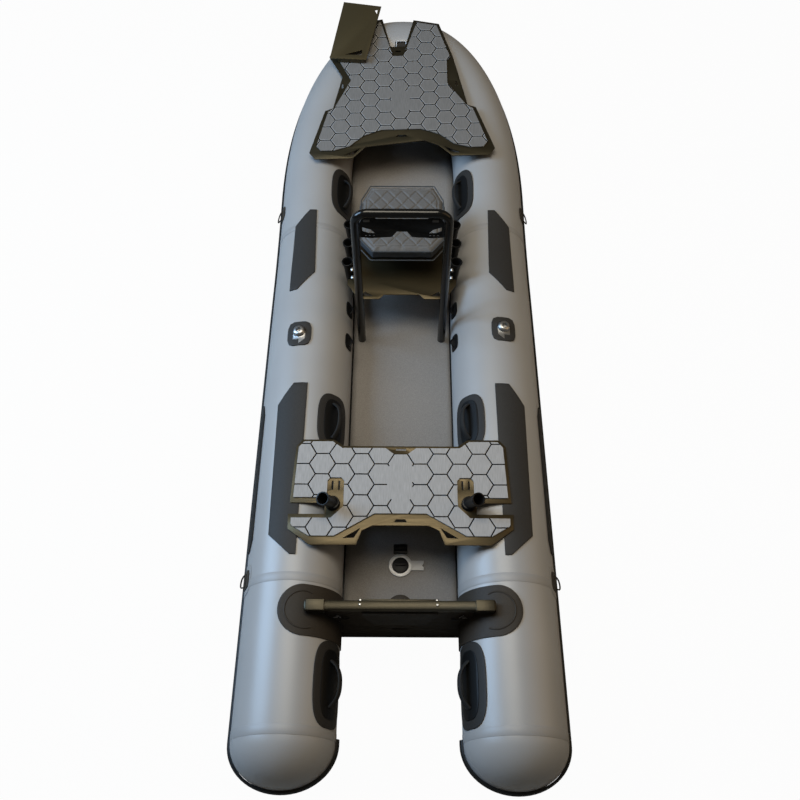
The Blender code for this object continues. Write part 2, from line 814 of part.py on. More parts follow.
def holder_tube(length, bottom=0.012, segments=16):
    """A turned tube, closed on its axis."""
    bm = bmesh.new()
    profile = holder_profile(length, bottom)
    verts = [bm.verts.new((r, 0.0, z)) for r, z in profile]
    edges = [bm.edges.new(pair) for pair in zip(verts, verts[1:])]
    bmesh.ops.spin(
        bm,
        geom=verts + edges,
        cent=(0, 0, 0),
        axis=(0, 0, 1),
        angle=2 * math.pi,
        steps=segments,
        use_merge=True,
    )
    bmesh.ops.remove_doubles(bm, verts=bm.verts, dist=1e-5)
    bmesh.ops.recalc_face_normals(bm, faces=bm.faces)
    mesh = bpy.data.meshes.new("holder")
    bm.to_mesh(mesh)
    bm.free()
    return mesh


def make_rear_holders():
    for label, side in SIDES:
        base_z = DECK_REST + PLATE + GAP
        base = cylinder(0.027, 0.016, (side * REAR_HOLDER_X, REAR_HOLDER_Y + 0.022, base_z + 0.008), 20, 0.024)
        lean = Matrix.Rotation(side * math.radians(19), 4, "Y") @ Matrix.Rotation(math.radians(14), 4, "X")
        place = at(side * REAR_HOLDER_X, REAR_HOLDER_Y + 0.022, base_z + 0.010)
        tube = placed(holder_tube(0.085), place @ lean)
        link_solid("rear_rod_holder_" + label, union(base, tube), "moulded_black")


FRONT_DECK_HALF = (
    (0.0, 0.088),
    (0.101, 0.088),
    (0.162, 0.060),
    (0.221, 0.0),
    (0.386, 0.0),
    (0.412, 0.035),
    (0.342, 0.268),
    (0.306, 0.282),
    (0.254, 0.575),
    (0.200, 0.777),
    (0.080, 0.805),
    (0.034, 0.640),
    (0.0, 0.640),
)
PORT_WING = (
    (-0.034, 0.640),
    (-0.068, 0.815),
    (-0.215, 0.790),
    (-0.300, 0.650),
    (-0.322, 0.587),
    (-0.262, 0.465),
    (-0.306, 0.282),
    (-0.342, 0.268),
    (-0.412, 0.035),
    (-0.386, 0.0),
    (-0.221, 0.0),
    (-0.162, 0.060),
    (-0.101, 0.088),
)
FRONT_PAD_HALF = (
    (0.0, 0.150),
    (0.088, 0.148),
    (0.172, 0.116),
    (0.232, 0.062),
    (0.303, 0.040),
    (0.361, 0.041),
    (0.381, 0.068),
    (0.328, 0.258),
    (0.300, 0.278),
    (0.220, 0.408),
    (0.225, 0.541),
    (0.242, 0.567),
    (0.188, 0.762),
    (0.094, 0.785),
    (0.024, 0.578),
    (0.0, 0.578),
)
PORT_PAD_WING = (
    (-0.024, 0.578),
    (-0.078, 0.795),
    (-0.135, 0.745),
    (-0.290, 0.590),
    (-0.222, 0.440),
    (-0.300, 0.278),
    (-0.328, 0.258),
    (-0.381, 0.068),
    (-0.361, 0.041),
    (-0.303, 0.040),
    (-0.232, 0.062),
    (-0.172, 0.116),
    (-0.088, 0.148),
)
MOUNT_PLATE = ((-0.318, 0.548), (-0.150, 0.532), (-0.072, 0.860), (-0.250, 0.895))


def front_deck_height():
    """Height of the deck plane over its after edge, so that it just clears the crown of the tubes."""
    highest = 0.0
    slope = math.tan(FRONT_DECK_SLOPE)
    for k in range(0, 61):
        centre, normal, radius = bow_station(math.pi / 2 * k / 60)
        highest = max(highest, centre.z + radius / math.cos(FRONT_DECK_SLOPE) - slope * (centre.y - FRONT_DECK_Y))
    return highest - FRONT_DECK_SETTLE


def front_deck_matrix():
    turn = Matrix.Rotation(FRONT_DECK_TURN, 4, "Z")
    tilt = Matrix.Rotation(FRONT_DECK_SLOPE, 4, "X")
    return at(FRONT_DECK_X, FRONT_DECK_Y, front_deck_height()) @ tilt @ turn


def make_front_deck():
    place = front_deck_matrix()
    holes = [trapezoid_slot(0.116, 0.026, 0.018, 0.005), slot_loop(0.0, 0.612, 0.013, 0.004)]
    for side in (PORT, STARBOARD):
        holes.append([(side * 0.184, 0.055), (side * 0.214, 0.020), (side * 0.262, 0.016)])
        holes.append(slot_loop(side * 0.262, 0.410, 0.004, 0.013))
    outline = list(FRONT_DECK_HALF) + list(PORT_WING)
    plate = flat_outline([outline[1:-1]] + holes, PLATE, 0.0)
    link_solid("front_deck_plate", placed(plate, place), "bronze_plate")
    pad_outline = list(FRONT_PAD_HALF) + list(PORT_PAD_WING)
    pad = flat_outline([pad_outline[1:]], PAD, PLATE + GAP)
    link_solid("front_deck_pad", placed(pad, place), "foam_grey")


def make_bow_mount():
    """The flat plate at the port bow, on a folded foot and two pillars."""
    place = front_deck_matrix()
    z_plate = PLATE + MOUNT_PLATE_LIFT
    holes = [
        [(-0.250, 0.566), (-0.172, 0.560), (-0.166, 0.592)],
        [(-0.104, 0.838), (-0.090, 0.842), (-0.094, 0.812)],
    ]
    plate = flat_outline([MOUNT_PLATE] + holes, PLATE, z_plate)
    foot_base = PLATE + PAD + 3 * GAP
    foot_height = z_plate - foot_base + PLATE / 2
    foot_middle = foot_base + foot_height / 2
    foot = box((MOUNT_FOOT_WIDTH, PLATE, foot_height), (0.0, 0.0, foot_middle))
    (left, left_y), (right, right_y) = MOUNT_PLATE[:2]
    swing = Matrix.Rotation(math.atan2(right_y - left_y, right - left), 4, "Z")
    foot = placed(foot, at(*MOUNT_FOOT_PLACE, 0) @ swing)
    pillars = [cylinder(MOUNT_PILLAR_R, foot_height, (x, y, foot_middle), 14) for x, y in MOUNT_PILLAR_PLACES]
    link_solid("bow_mount_plate", placed(union(plate, foot, *pillars), place), "bronze_plate")


TOW_X = -0.0235
TOW_GAP = 0.0018
TOW_PATCH_HALF_WIDTH = 0.024
TOW_RING_ANGLE = 25.0
TOW_RING_LIFT = math.radians(14)


def bow_crown_point(angle, offset, x=0.0):
    """A point on the bow tube at the centreline, at an angle aft of its crown."""
    centre, _, radius = bow_station(math.pi / 2)
    turn = math.radians(angle)
    return Vector((TOW_X + x, centre.y - (radius + offset) * math.sin(turn), centre.z + (radius + offset) * math.cos(turn)))


def make_bow_ring():
    """The towing ring on its patch, in the open notch of the front deck."""
    angles = [5.0 + 24.0 * k / 5 for k in range(6)]
    rings = []
    for x in (-TOW_PATCH_HALF_WIDTH, TOW_PATCH_HALF_WIDTH):
        under = [bow_crown_point(angle, TOW_GAP, x) for angle in angles]
        over = [bow_crown_point(angle, TOW_GAP + PATCH, x) for angle in reversed(angles)]
        rings.append(under + over)
    foot = bow_crown_point(TOW_RING_ANGLE, TOW_GAP + PATCH + 0.001)
    rising = math.radians(TOW_RING_ANGLE) + TOW_RING_LIFT
    points = []
    for k in range(12):
        turn = math.pi * k / 11
        reach = 0.030 * math.sin(turn)
        along = Vector((0.021 * math.cos(turn), reach * math.cos(rising), reach * math.sin(rising)))
        points.append(foot + along)
    ring = swept_tube(points, [D_RING_WIRE_R] * len(points), 8, cyclic=True)
    link_solid("bow_towing_ring", union(loft(rings), ring), "pvc_dark")


def hoop_points():
    """Centre line of the back hoop: up one leg, across the top and down the other."""
    foot = FLOOR_TOP + GAP
    top = HOOP_TOP - SEAT_FRAME_TUBE_R
    right = [(LEG_X, foot), (LEG_X, foot + 0.20), (LEG_X, foot + 0.45)]
    corner = arc((LEG_X - HOOP_BEND, top - HOOP_BEND), HOOP_BEND, 0, 90, 6)
    line = right + corner
    line += [(-x, z) for x, z in reversed(line)]
    return [(x, HOOP_Y, z) for x, z in line]


def make_seat_frame():
    points = hoop_points()
    hoop = swept_tube(points, [SEAT_FRAME_TUBE_R] * len(points), 14)
    pieces = []
    rail_z = PLATFORM_TOP - PLATE - GAP - FRAME_RAIL_R
    for side in (PORT, STARBOARD):
        corner = [(y, z) for y, z in arc((FRONT_LEG_Y - 0.04, rail_z - 0.04), 0.04, 90, 0, 5)]
        line = [(HOOP_Y, rail_z)] + corner + [(FRONT_LEG_Y, FLOOR_TOP + hull_rise(FRONT_LEG_Y) + 0.0025)]
        rail = [(side * LEG_X, y, z) for y, z in line]
        pieces.append(swept_tube(rail, [FRAME_RAIL_R] * len(rail), 12))
    cross = [(-LEG_X, 0.24, rail_z), (LEG_X, 0.24, rail_z)]
    pieces.append(swept_tube(cross, [FRAME_RAIL_R * 0.9] * 2, 12))
    link_solid("seat_frame", union(hoop, *pieces), "tube_black")


BACK_PANEL_TOP = HOOP_TOP - 2 * SEAT_FRAME_TUBE_R - GAP
BACK_PANEL_HEIGHT = 0.1077
BACK_PANEL_BOTTOM = BACK_PANEL_TOP - BACK_PANEL_HEIGHT
BACK_WINDOW = ((0.140, 0.056), (0.140, 0.034), (0.120, 0.024), (0.092, 0.022), (0.110, 0.044))
BACK_PERFORATION_HALF = 0.003


def make_back_panel():
    """The plate under the top of the hoop, with two slanted windows and a notch."""
    half = LEG_X - SEAT_FRAME_TUBE_R - GAP
    outline = mirrored(
        (
            (0.0, BACK_PANEL_BOTTOM + 0.034),
            (0.018, BACK_PANEL_BOTTOM + 0.034),
            (0.036, BACK_PANEL_BOTTOM + 0.006),
            (0.110, BACK_PANEL_BOTTOM),
            (half, BACK_PANEL_BOTTOM + 0.004),
            (half, BACK_PANEL_TOP - 0.031),
            (0.140, BACK_PANEL_TOP - 0.014),
            (0.116, BACK_PANEL_TOP),
            (0.100, BACK_PANEL_TOP),
            (0.090, BACK_PANEL_TOP - 0.012),
            (0.0, BACK_PANEL_TOP - 0.012),
        )
    )
    holes = []
    for side in (PORT, STARBOARD):
        holes.append([(side * x, BACK_PANEL_BOTTOM + z) for x, z in BACK_WINDOW])
        for x in (0.100, 0.114, 0.128):
            holes.append(slot_loop(side * x, BACK_PANEL_BOTTOM + 0.012, BACK_PERFORATION_HALF, BACK_PERFORATION_HALF))
    plate = flat_outline([outline] + holes, PLATE, 0.0)
    link_solid("backrest_panel", upright(plate, HOOP_Y + PLATE / 2), "moulded_black")




def rack_axis_x(height):
    """The racks' lean puts their closed ends just clear of the tubes."""
    y = ROD_RACK_Y[0]
    centre, radius = tube_centre(y, STARBOARD), hull_radius(y)
    foot = ROD_RACK_TOP - ROD_RACK_LENGTH * math.cos(ROD_RACK_LEAN)
    reach = math.sqrt(max(radius**2 - (foot - centre.z) ** 2, 0.0))
    foot_x = centre.x - reach - ROD_TUBE_R - ROD_RACK_TUBE_CLEARANCE
    return foot_x + (height - foot) * math.tan(ROD_RACK_LEAN)


PLATFORM_SIDE_X = rack_axis_x(PLATFORM_TOP) - ROD_TUBE_R - 0.0018
PLATFORM_HALF = (
    (0.0, 0.128),
    (0.072, 0.128),
    (0.090, 0.106),
    (0.175, 0.106),
    (PLATFORM_SIDE_X + 0.032, 0.180),
    (PLATFORM_SIDE_X + 0.032, 0.205),
    (PLATFORM_SIDE_X, 0.213),
    (PLATFORM_SIDE_X, 0.470),
    (0.165, 0.560),
    (0.0, 0.560),
)


def make_platform():
    holes = []
    for side in (PORT, STARBOARD):
        holes.append([(side * x, y) for x, y in ((0.118, 0.122), (0.158, 0.122), (0.150, 0.144))])
    plate = flat_outline([mirrored(PLATFORM_HALF)] + holes, PLATE, PLATFORM_TOP - PLATE)
    link_solid("seat_platform", plate, "bronze_plate")


def make_rod_racks():
    """Three rod holders on each wing of the platform, on one side plate."""
    for label, side in SIDES:
        wall_x = side * (PLATFORM_SIDE_X + GAP + PLATE / 2)
        wall_size = (PLATE, ROD_RACK_WALL_LENGTH, 0.050)
        pieces = [box(wall_size, (wall_x, ROD_RACK_Y[1], PLATFORM_TOP - 0.004), bevel=0.0008, segments=1)]
        for y in ROD_RACK_Y:
            foot = ROD_RACK_TOP - ROD_RACK_LENGTH * math.cos(ROD_RACK_LEAN)
            place = at(side * rack_axis_x(foot), y, foot)
            lean = Matrix.Rotation(side * ROD_RACK_LEAN, 4, "Y")
            pieces.append(placed(holder_tube(ROD_RACK_LENGTH), place @ lean))
        link_solid("rod_rack_" + label, union(*pieces), "moulded_black")


def make_seat():
    base_bottom = PLATFORM_TOP + GAP
    base = union(
        cylinder(SWIVEL_R, 0.006, (0, SEAT_CENTRE_Y, base_bottom + 0.003), 32),
        cylinder(0.052, SWIVEL_BASE_HEIGHT, (0, SEAT_CENTRE_Y, base_bottom + SWIVEL_BASE_HEIGHT / 2), 32, 0.044),
    )
    link_solid("seat_swivel_base", base, "moulded_black")
    head_bottom = base_bottom + SWIVEL_BASE_HEIGHT + GAP
    head_top = CUSHION_BOTTOM - GAP
    stem_height = head_top - head_bottom
    head = union(
        cylinder(0.040, stem_height, (0, 0, head_bottom + stem_height / 2), 32),
        box((0.250, 0.250, 0.006), (0, 0, head_top - 0.003), bevel=0.0015, segments=1),
    )
    head_obj = link_solid("seat_swivel_head", head, "moulded_black")
    head_obj.location = (0, SEAT_CENTRE_Y, 0)

    a, b = CUSHION_HALF_WIDTH, CUSHION_HALF_LENGTH
    cx, cy = CUSHION_CHAMFER_X, CUSHION_CHAMFER_Y
    corners = ((a, -b + cy), (a, b - cy), (a - cx, b), (-a + cx, b), (-a, b - cy), (-a, -b + cy), (-a + cx, -b), (a - cx, -b))
    rings = []
    for inset, height in ((0.010, 0.0), (0.0, 0.008), (0.0, 0.046), (0.004, 0.056), (0.014, CUSHION_HEIGHT)):
        scale_x, scale_y = 1 - inset / a, 1 - inset / b
        rings.append([(x * scale_x, y * scale_y, CUSHION_BOTTOM + height) for x, y in corners])
    cushion = link_solid("seat_cushion", loft(rings), "seat_vinyl")
    cushion.location = (0, SEAT_CENTRE_Y, 0)


VALVE_Y = FLOOR_AFT_Y + 0.204
DRAIN_PATCH_Y = FLOOR_AFT_Y + 0.005


def make_floor_valve():
    top = FLOOR_TOP + GAP
    ring = flat_outline([arc((0.0, VALVE_Y), 0.0425, 0, 342, 19), arc((0.0, VALVE_Y), 0.0300, 0, 345, 23)], 0.005, top)
    tab_outline = [
        (0.034, VALVE_Y - 0.018),
        (0.084, VALVE_Y - 0.018),
        (0.084, VALVE_Y - 0.007),
        (0.077, VALVE_Y),
        (0.084, VALVE_Y + 0.007),
        (0.084, VALVE_Y + 0.018),
        (0.034, VALVE_Y + 0.018),
    ]
    tab = flat_outline([tab_outline], 0.004, top)
    link_solid("floor_valve_ring", union(ring, tab), "chrome")
    cap = union(
        cylinder(0.0292, 0.010, (0, VALVE_Y, top + 0.005), 24, 0.0280),
        box((0.040, 0.008, 0.006), (0, VALVE_Y, top + 0.0125), bevel=0.0015, segments=1),
    )
    link_solid("floor_valve_cap", cap, "rubber_black")
    latch = union(
        box((0.050, 0.036, 0.005), (0, VALVE_Y + 0.062, top + 0.0025), bevel=0.001, segments=1),
        box((0.042, 0.022, 0.014), (0, VALVE_Y + 0.066, top + 0.009), bevel=0.002, segments=1),
    )
    link_solid("floor_valve_latch", latch, "moulded_black")
    turns = [math.pi * k / 12 for k in range(13)]
    patch = [(0.045 * math.cos(a), DRAIN_PATCH_Y + 0.062 * math.sin(a)) for a in turns]
    link_solid("floor_drain_patch", flat_outline([patch], 0.0025, top), "pvc_dark")


TIE_LOOP_Y = (("fore", 0.115), ("aft", -0.047))
TIE_LOOP_R = 0.003
TIE_LOOP_END = 0.0046


def make_tie_patches():
    """Strap loops on the inner flanks of the tubes, beside the seat frame."""
    for label, side in SIDES:
        for place, y in TIE_LOOP_Y:
            patch = wrap_patch(side, rounded_stations(y, 0.036, -68.0, 9.0, steps=6), PATCH, steps=3)
            points = []
            for k in range(7):
                s = -1 + k / 3
                lift = 0.012 * (1 - s * s) + TIE_LOOP_END
                points.append(tube_point(y + 0.022 * s, side, -68.0, lift))
            loop = swept_tube(points, [TIE_LOOP_R] * len(points), 6)
            link_solid("tie_loop_" + place + "_" + label, union(patch, loop), "rubber_black")


def centre_over_ground():
    """Moves the whole kayak so that the origin is under the middle of its box."""
    bpy.context.view_layer.update()
    low = [math.inf] * 3
    high = [-math.inf] * 3
    for obj in parts.objects:
        if obj.type != "MESH":
            continue
        for corner in obj.bound_box:
            point = obj.matrix_world @ Vector(corner)
            low = [min(a, b) for a, b in zip(low, point)]
            high = [max(a, b) for a, b in zip(high, point)]
    datum.location = (-(low[0] + high[0]) / 2, -(low[1] + high[1]) / 2, -low[2])
    bpy.context.view_layer.update()


clear_scene()
parts = make_collection("inflatable_fishing_kayak")
datum = bpy.data.objects.new("keel_datum", None)
parts.objects.link(datum)

make_side_tubes()
make_bow_tube()
make_floor()
make_strakes()
make_tube_patches()
make_handles()
make_oarlocks()
make_d_rings()
make_tie_patches()
make_bow_ring()
make_transom()
make_floor_valve()
make_rear_deck()
make_rear_holders()
make_front_deck()
make_bow_mount()
make_seat_frame()
make_back_panel()
make_platform()
make_rod_racks()
make_seat()
centre_over_ground()
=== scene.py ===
"""Looks of the inflatable fishing kayak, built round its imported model."""

import json
import math

import bmesh
import bpy
from mathutils import Matrix, Vector

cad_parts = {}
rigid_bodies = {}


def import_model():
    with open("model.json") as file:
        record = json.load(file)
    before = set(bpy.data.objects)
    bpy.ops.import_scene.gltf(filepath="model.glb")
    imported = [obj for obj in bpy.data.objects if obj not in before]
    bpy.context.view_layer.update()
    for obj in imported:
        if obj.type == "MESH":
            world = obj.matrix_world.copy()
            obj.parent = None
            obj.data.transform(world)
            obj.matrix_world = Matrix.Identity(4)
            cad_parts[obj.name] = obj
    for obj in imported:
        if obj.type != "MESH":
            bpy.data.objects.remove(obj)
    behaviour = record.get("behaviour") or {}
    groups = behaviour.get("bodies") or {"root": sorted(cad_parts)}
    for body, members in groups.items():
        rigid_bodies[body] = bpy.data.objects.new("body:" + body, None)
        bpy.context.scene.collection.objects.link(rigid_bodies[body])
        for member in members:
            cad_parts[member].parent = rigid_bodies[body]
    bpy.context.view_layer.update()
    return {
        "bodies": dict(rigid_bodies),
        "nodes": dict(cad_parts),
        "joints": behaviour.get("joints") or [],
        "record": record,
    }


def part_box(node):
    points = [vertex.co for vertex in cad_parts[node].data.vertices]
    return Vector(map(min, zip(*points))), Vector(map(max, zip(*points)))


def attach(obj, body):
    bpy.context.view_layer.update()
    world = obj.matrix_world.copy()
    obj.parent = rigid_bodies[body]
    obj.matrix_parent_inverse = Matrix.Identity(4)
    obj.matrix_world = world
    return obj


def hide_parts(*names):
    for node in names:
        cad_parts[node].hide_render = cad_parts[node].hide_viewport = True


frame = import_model()
NODES = frame["nodes"]

# The hull as it is laid out from amidships, as in the model
NOSE_Y = 1.740
STERN_Y = -1.697
CHAMBER_JOINT_Y = 0.50
SHIFT = Vector((0.0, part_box("tube_bow")[0].y - CHAMBER_JOINT_Y, 0.0))
STERN_DOME = 0.137
DOME_START_Y = STERN_Y + STERN_DOME
TUBE_OUTER_X = 0.538
TUBE_R_STERN, TUBE_R_FORE, TUBE_R_NOSE = 0.168, 0.152, 0.136
BOW_START_Y = 0.75
BOW_FULLNESS = 2.25
RISE_START_Y, BOW_RISE, RISE_POWER = 0.30, 0.210, 1.6
FLOOR_TOP = 0.122
FLOOR_AFT_Y = -1.150
PORT, STARBOARD = -1, 1
SIDES = (("port", PORT), ("starboard", STARBOARD))


# Materials


def fill(node, values):
    """Gives a node's inputs their values."""
    for socket, value in values.items():
        node.inputs[socket].default_value = value


def principled(name, colour, roughness, metallic=0.0, specular=0.5, coat=0.0, coat_roughness=0.03):
    material = bpy.data.materials.new(name)
    material.use_nodes = True
    shader = material.node_tree.nodes["Principled BSDF"]
    fill(shader, {"Base Color": (*colour, 1.0), "Roughness": roughness, "Metallic": metallic})
    fill(shader, {"Specular IOR Level": specular, "Coat Weight": coat, "Coat Roughness": coat_roughness})
    return material


def nodes_of(material):
    tree = material.node_tree
    return tree.nodes, tree.links, tree.nodes["Principled BSDF"]


def noise(material, scale, detail, stretch=(1, 1, 1)):
    """Noise in the object's coordinates, multiplied by the stretch on each axis."""
    nodes, links, _ = nodes_of(material)
    place = nodes.new("ShaderNodeTexCoord")
    mapping = nodes.new("ShaderNodeMapping")
    fill(mapping, {"Scale": stretch})
    texture = nodes.new("ShaderNodeTexNoise")
    fill(texture, {"Scale": scale, "Detail": detail})
    links.new(place.outputs["Object"], mapping.inputs["Vector"])
    links.new(mapping.outputs["Vector"], texture.inputs["Vector"])
    return texture.outputs["Fac"]


def tinted(material, factor, dark, light, low=0.35, high=0.65):
    """Colour that wanders between two tones with a texture."""
    nodes, links, shader = nodes_of(material)
    ramp = nodes.new("ShaderNodeValToRGB")
    for element, position, colour in zip(ramp.color_ramp.elements, (low, high), (dark, light)):
        element.position = position
        element.color = (*colour, 1.0)
    links.new(factor, ramp.inputs["Fac"])
    links.new(ramp.outputs["Color"], shader.inputs["Base Color"])


def bumped(material, height, strength, distance):
    nodes, links, shader = nodes_of(material)
    bump = nodes.new("ShaderNodeBump")
    fill(bump, {"Strength": strength, "Distance": distance})
    links.new(height, bump.inputs["Height"])
    links.new(bump.outputs["Normal"], shader.inputs["Normal"])


def roughened(material, factor, low, high):
    nodes, links, shader = nodes_of(material)
    spread = nodes.new("ShaderNodeMapRange")
    fill(spread, {"To Min": low, "To Max": high})
    links.new(factor, spread.inputs["Value"])
    links.new(spread.outputs["Result"], shader.inputs["Roughness"])


def grey(value, warmth=0.0):
    return (value * (1 + warmth), value, value * (1 - warmth))


# Scales of noise, and its stretches along the three axes
PVC_CLOUDS, PVC_GRAIN = 3.0, 1400.0
FOAM_BRUSHING = (420.0, 26.0, 60.0)
METAL_BRUSHING = (25.0, 300.0, 60.0)


def make_pvc(name, value, roughness=0.40):
    """Coated cloth, a little cloudy."""
    material = principled(name, grey(value, 0.02), roughness)
    dark, light = grey(value * 0.965, 0.02), grey(value * 1.03, 0.02)
    tinted(material, noise(material, PVC_CLOUDS, 3.0), dark, light)
    bumped(material, noise(material, PVC_GRAIN, 1.0), 0.10, 0.0004)
    return material


def make_weave(name, value, roughness, scale, strength=0.35, warmth=0.03):
    """Coarse cloth or grained plastic, rough to a scale and a strength."""
    material = principled(name, grey(value, warmth), roughness, specular=0.15)
    dark, light = grey(value * 0.82, warmth), grey(value * 1.15, warmth)
    tinted(material, noise(material, scale * 0.55, 2.0), dark, light)
    bumped(material, noise(material, scale, 1.0), strength, 0.0006)
    return material


def make_brushed_foam(name, value):
    """EVA foam sheet with a brushed grain along the hull."""
    material = principled(name, grey(value, 0.03), 0.78, specular=0.10)
    grain = noise(material, 1.0, 3.0, FOAM_BRUSHING)
    tinted(material, grain, grey(value * 0.86, 0.03), grey(value * 1.12, 0.03), 0.3, 0.7)
    bumped(material, grain, 0.25, 0.0005)
    return material


def make_anodised(name, colour, roughness=0.34):
    """Anodised aluminium with a fine grain across the hull."""
    material = principled(name, colour, roughness, 0.75, specular=0.4)
    grain = noise(material, 1.0, 2.0, METAL_BRUSHING)
    roughened(material, grain, roughness - 0.05, roughness + 0.09)
    return material


PVC = make_pvc("pvc_grey", 0.235)
PVC_TAPE = make_pvc("pvc_seam_tape", 0.210, 0.46)
PVC_DARK = make_weave("pvc_olive_black", 0.020, 0.55, 700.0, warmth=0.24)
HANDLE_PATCH = make_weave("handle_patch_black", 0.018, 0.55, 700.0, warmth=0.08)
CHAFE_DARK = make_weave("chafe_black", 0.022, 0.55, 700.0, warmth=0.06)
PANEL_DARK = make_weave("side_panel_black", 0.008, 0.60, 700.0)
FLOOR = make_weave("floor_weave", 0.170, 0.62, 800.0, 0.5, warmth=0.06)
RUBBER = principled("rubber_black", grey(0.004), 0.45, specular=0.14)
STRAKE = principled("strake_black", grey(0.006), 0.50, specular=0.20)
WEBBING = make_weave("webbing_black", 0.012, 0.7, 1500.0, 0.6)
# One anodised bronze in three copies: the lighter one is a painted reflection for the bow mount plate, the
# darker one painted shade for the front deck plate.
BRONZE = make_anodised("bronze_anodised", (0.050, 0.038, 0.019))
BRONZE_PAINTED_REFLECTION = make_anodised("bronze_painted_reflection", (0.100, 0.080, 0.042))
BRONZE_PAINTED_SHADE = make_anodised("bronze_painted_shade", (0.036, 0.030, 0.017), 0.38)
FOAM_REAR = make_brushed_foam("foam_light", 0.255)
FOAM_FRONT = make_brushed_foam("foam_mid", 0.122)
# Painted shade: the grooves' walls and floors are near black for the shade inside them. Painted highlight:
# the front pad's groove rims are lighter than its foam, where the chamfers catch the light.
GROOVE_PAINTED_SHADE = principled("foam_groove_painted_shade", grey(0.003), 0.9, specular=0.0)
GROOVE_RIM_PAINTED_HIGHLIGHT = principled("foam_rim_painted_highlight", grey(0.22), 0.8, specular=0.1)
VINYL = make_weave("seat_vinyl", 0.084, 0.50, 1200.0, 0.25)
# A darker, cooler copy of the seat vinyl for the cushion's sides and piping: painted shade.
VINYL_PAINTED_SHADE = make_weave("seat_side_painted_shade", 0.046, 0.55, 1200.0, 0.25, warmth=-0.08)
STITCH_BAND = principled("seat_black_band", grey(0.003), 0.6, specular=0.08)
GLOSS = principled("gloss_black", grey(0.003), 0.20, specular=0.2, coat=0.22, coat_roughness=0.05)
MOULDED = principled("moulded_black", grey(0.004), 0.38, specular=0.16)
SATIN_BLACK = principled("satin_black_plate", grey(0.004), 0.40, specular=0.14)
BAR_OLIVE = make_anodised("bar_olive", (0.028, 0.024, 0.015))
STEEL = principled("stainless", grey(0.34), 0.38, 1.0)
CAST_METAL = principled("valve_metal", grey(0.36), 0.45, 0.35, specular=0.4)
PAD_MESH = make_weave("motor_pad_perforated", 0.038, 0.6, 300.0, 1.0)


# Pieces


SMOOTH_ANGLE = 35.0


def placed(name, data):
    """A new object in the scene."""
    obj = bpy.data.objects.new(name, data)
    bpy.context.scene.collection.objects.link(obj)
    return obj


def evaluated(obj):
    """The object's mesh with its modifiers applied."""
    bpy.context.view_layer.update()
    graph = bpy.context.evaluated_depsgraph_get()
    return bpy.data.meshes.new_from_object(obj.evaluated_get(graph))


def piece(name, mesh, materials, replaced=(), body="hull", slot=None, shift=True, angle=SMOOTH_ANGLE):
    """A finished piece of the scene on a body. Its faces keep their material numbers."""
    if not isinstance(materials, (list, tuple)):
        materials = [materials]
    numbers = [polygon.material_index for polygon in mesh.polygons]
    mesh.materials.clear()
    for material in materials:
        mesh.materials.append(material)
    for polygon, number in zip(mesh.polygons, numbers):
        polygon.material_index = number
    mesh.shade_smooth()
    mesh.set_sharp_from_angle(angle=math.radians(angle))
    if shift:
        mesh.transform(Matrix.Translation(SHIFT))
    obj = placed(name, mesh)
    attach(obj, body)
    if replaced:
        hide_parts(*replaced)
    return obj


def plain_mesh(bm):
    mesh = bpy.data.meshes.new("mesh")
    bm.to_mesh(mesh)
    bm.free()
    return mesh


def to_mesh(bm):
    """A mesh of it, with its faces turned outward."""
    bmesh.ops.recalc_face_normals(bm, faces=bm.faces)
    return plain_mesh(bm)


def joined(*meshes):
    """Several meshes in one, keeping each face's material number."""
    bm = bmesh.new()
    for mesh in meshes:
        bm.from_mesh(mesh)
    return plain_mesh(bm)


def layered(*meshes):
    """Several meshes in one, each with a material number of its own."""
    for number, mesh in enumerate(meshes):
        for polygon in mesh.polygons:
            polygon.material_index = number
    return joined(*meshes)


def moved(mesh, matrix):
    mesh.transform(matrix)
    return mesh


def at(x, y, z):
    return Matrix.Translation((x, y, z))


def box(size, centre, bevel=0.0):
    bm = bmesh.new()
    bmesh.ops.create_cube(bm, size=1.0)
    bmesh.ops.scale(bm, verts=bm.verts, vec=size)
    bmesh.ops.translate(bm, verts=bm.verts, vec=centre)
    if bevel:
        bmesh.ops.bevel(bm, geom=bm.edges[:], offset=bevel, segments=2, profile=0.5, affect="EDGES")
    return to_mesh(bm)


def lathe(profile, segments=48):
    """An open profile of (radius, height) from the axis to the axis, turned about Z."""
    bm = bmesh.new()
    verts = [bm.verts.new((r, 0.0, z)) for r, z in profile]
    edges = [bm.edges.new(pair) for pair in zip(verts, verts[1:])]
    bmesh.ops.spin(
        bm, geom=verts + edges, axis=(0, 0, 1), angle=2 * math.pi, steps=segments, use_merge=True
    )
    bmesh.ops.remove_doubles(bm, verts=bm.verts, dist=1e-6)
    return to_mesh(bm)


def loft(rings, closed=False):
    """A skin over rings of points, capped unless it closes on itself."""
    bm = bmesh.new()
    made = [[bm.verts.new(point) for point in ring] for ring in rings]
    count = len(made[0])
    pairs = list(zip(made, made[1:]))
    if closed:
        pairs.append((made[-1], made[0]))
    for first, second in pairs:
        for i in range(count):
            j = (i + 1) % count
            bm.faces.new((first[i], first[j], second[j], second[i]))
    if not closed:
        bm.faces.new(reversed(made[0]))
        bm.faces.new(made[-1])
    return to_mesh(bm)


def signed_power(value, power):
    return math.copysign(abs(value) ** power, value)


def ellipse(count, across=1.0, upright=1.0):
    turns = [2 * math.pi * k / count for k in range(count)]
    return [(across * math.cos(turned), upright * math.sin(turned)) for turned in turns]


ALONG_HULL = Vector((0, 1, 0.001))


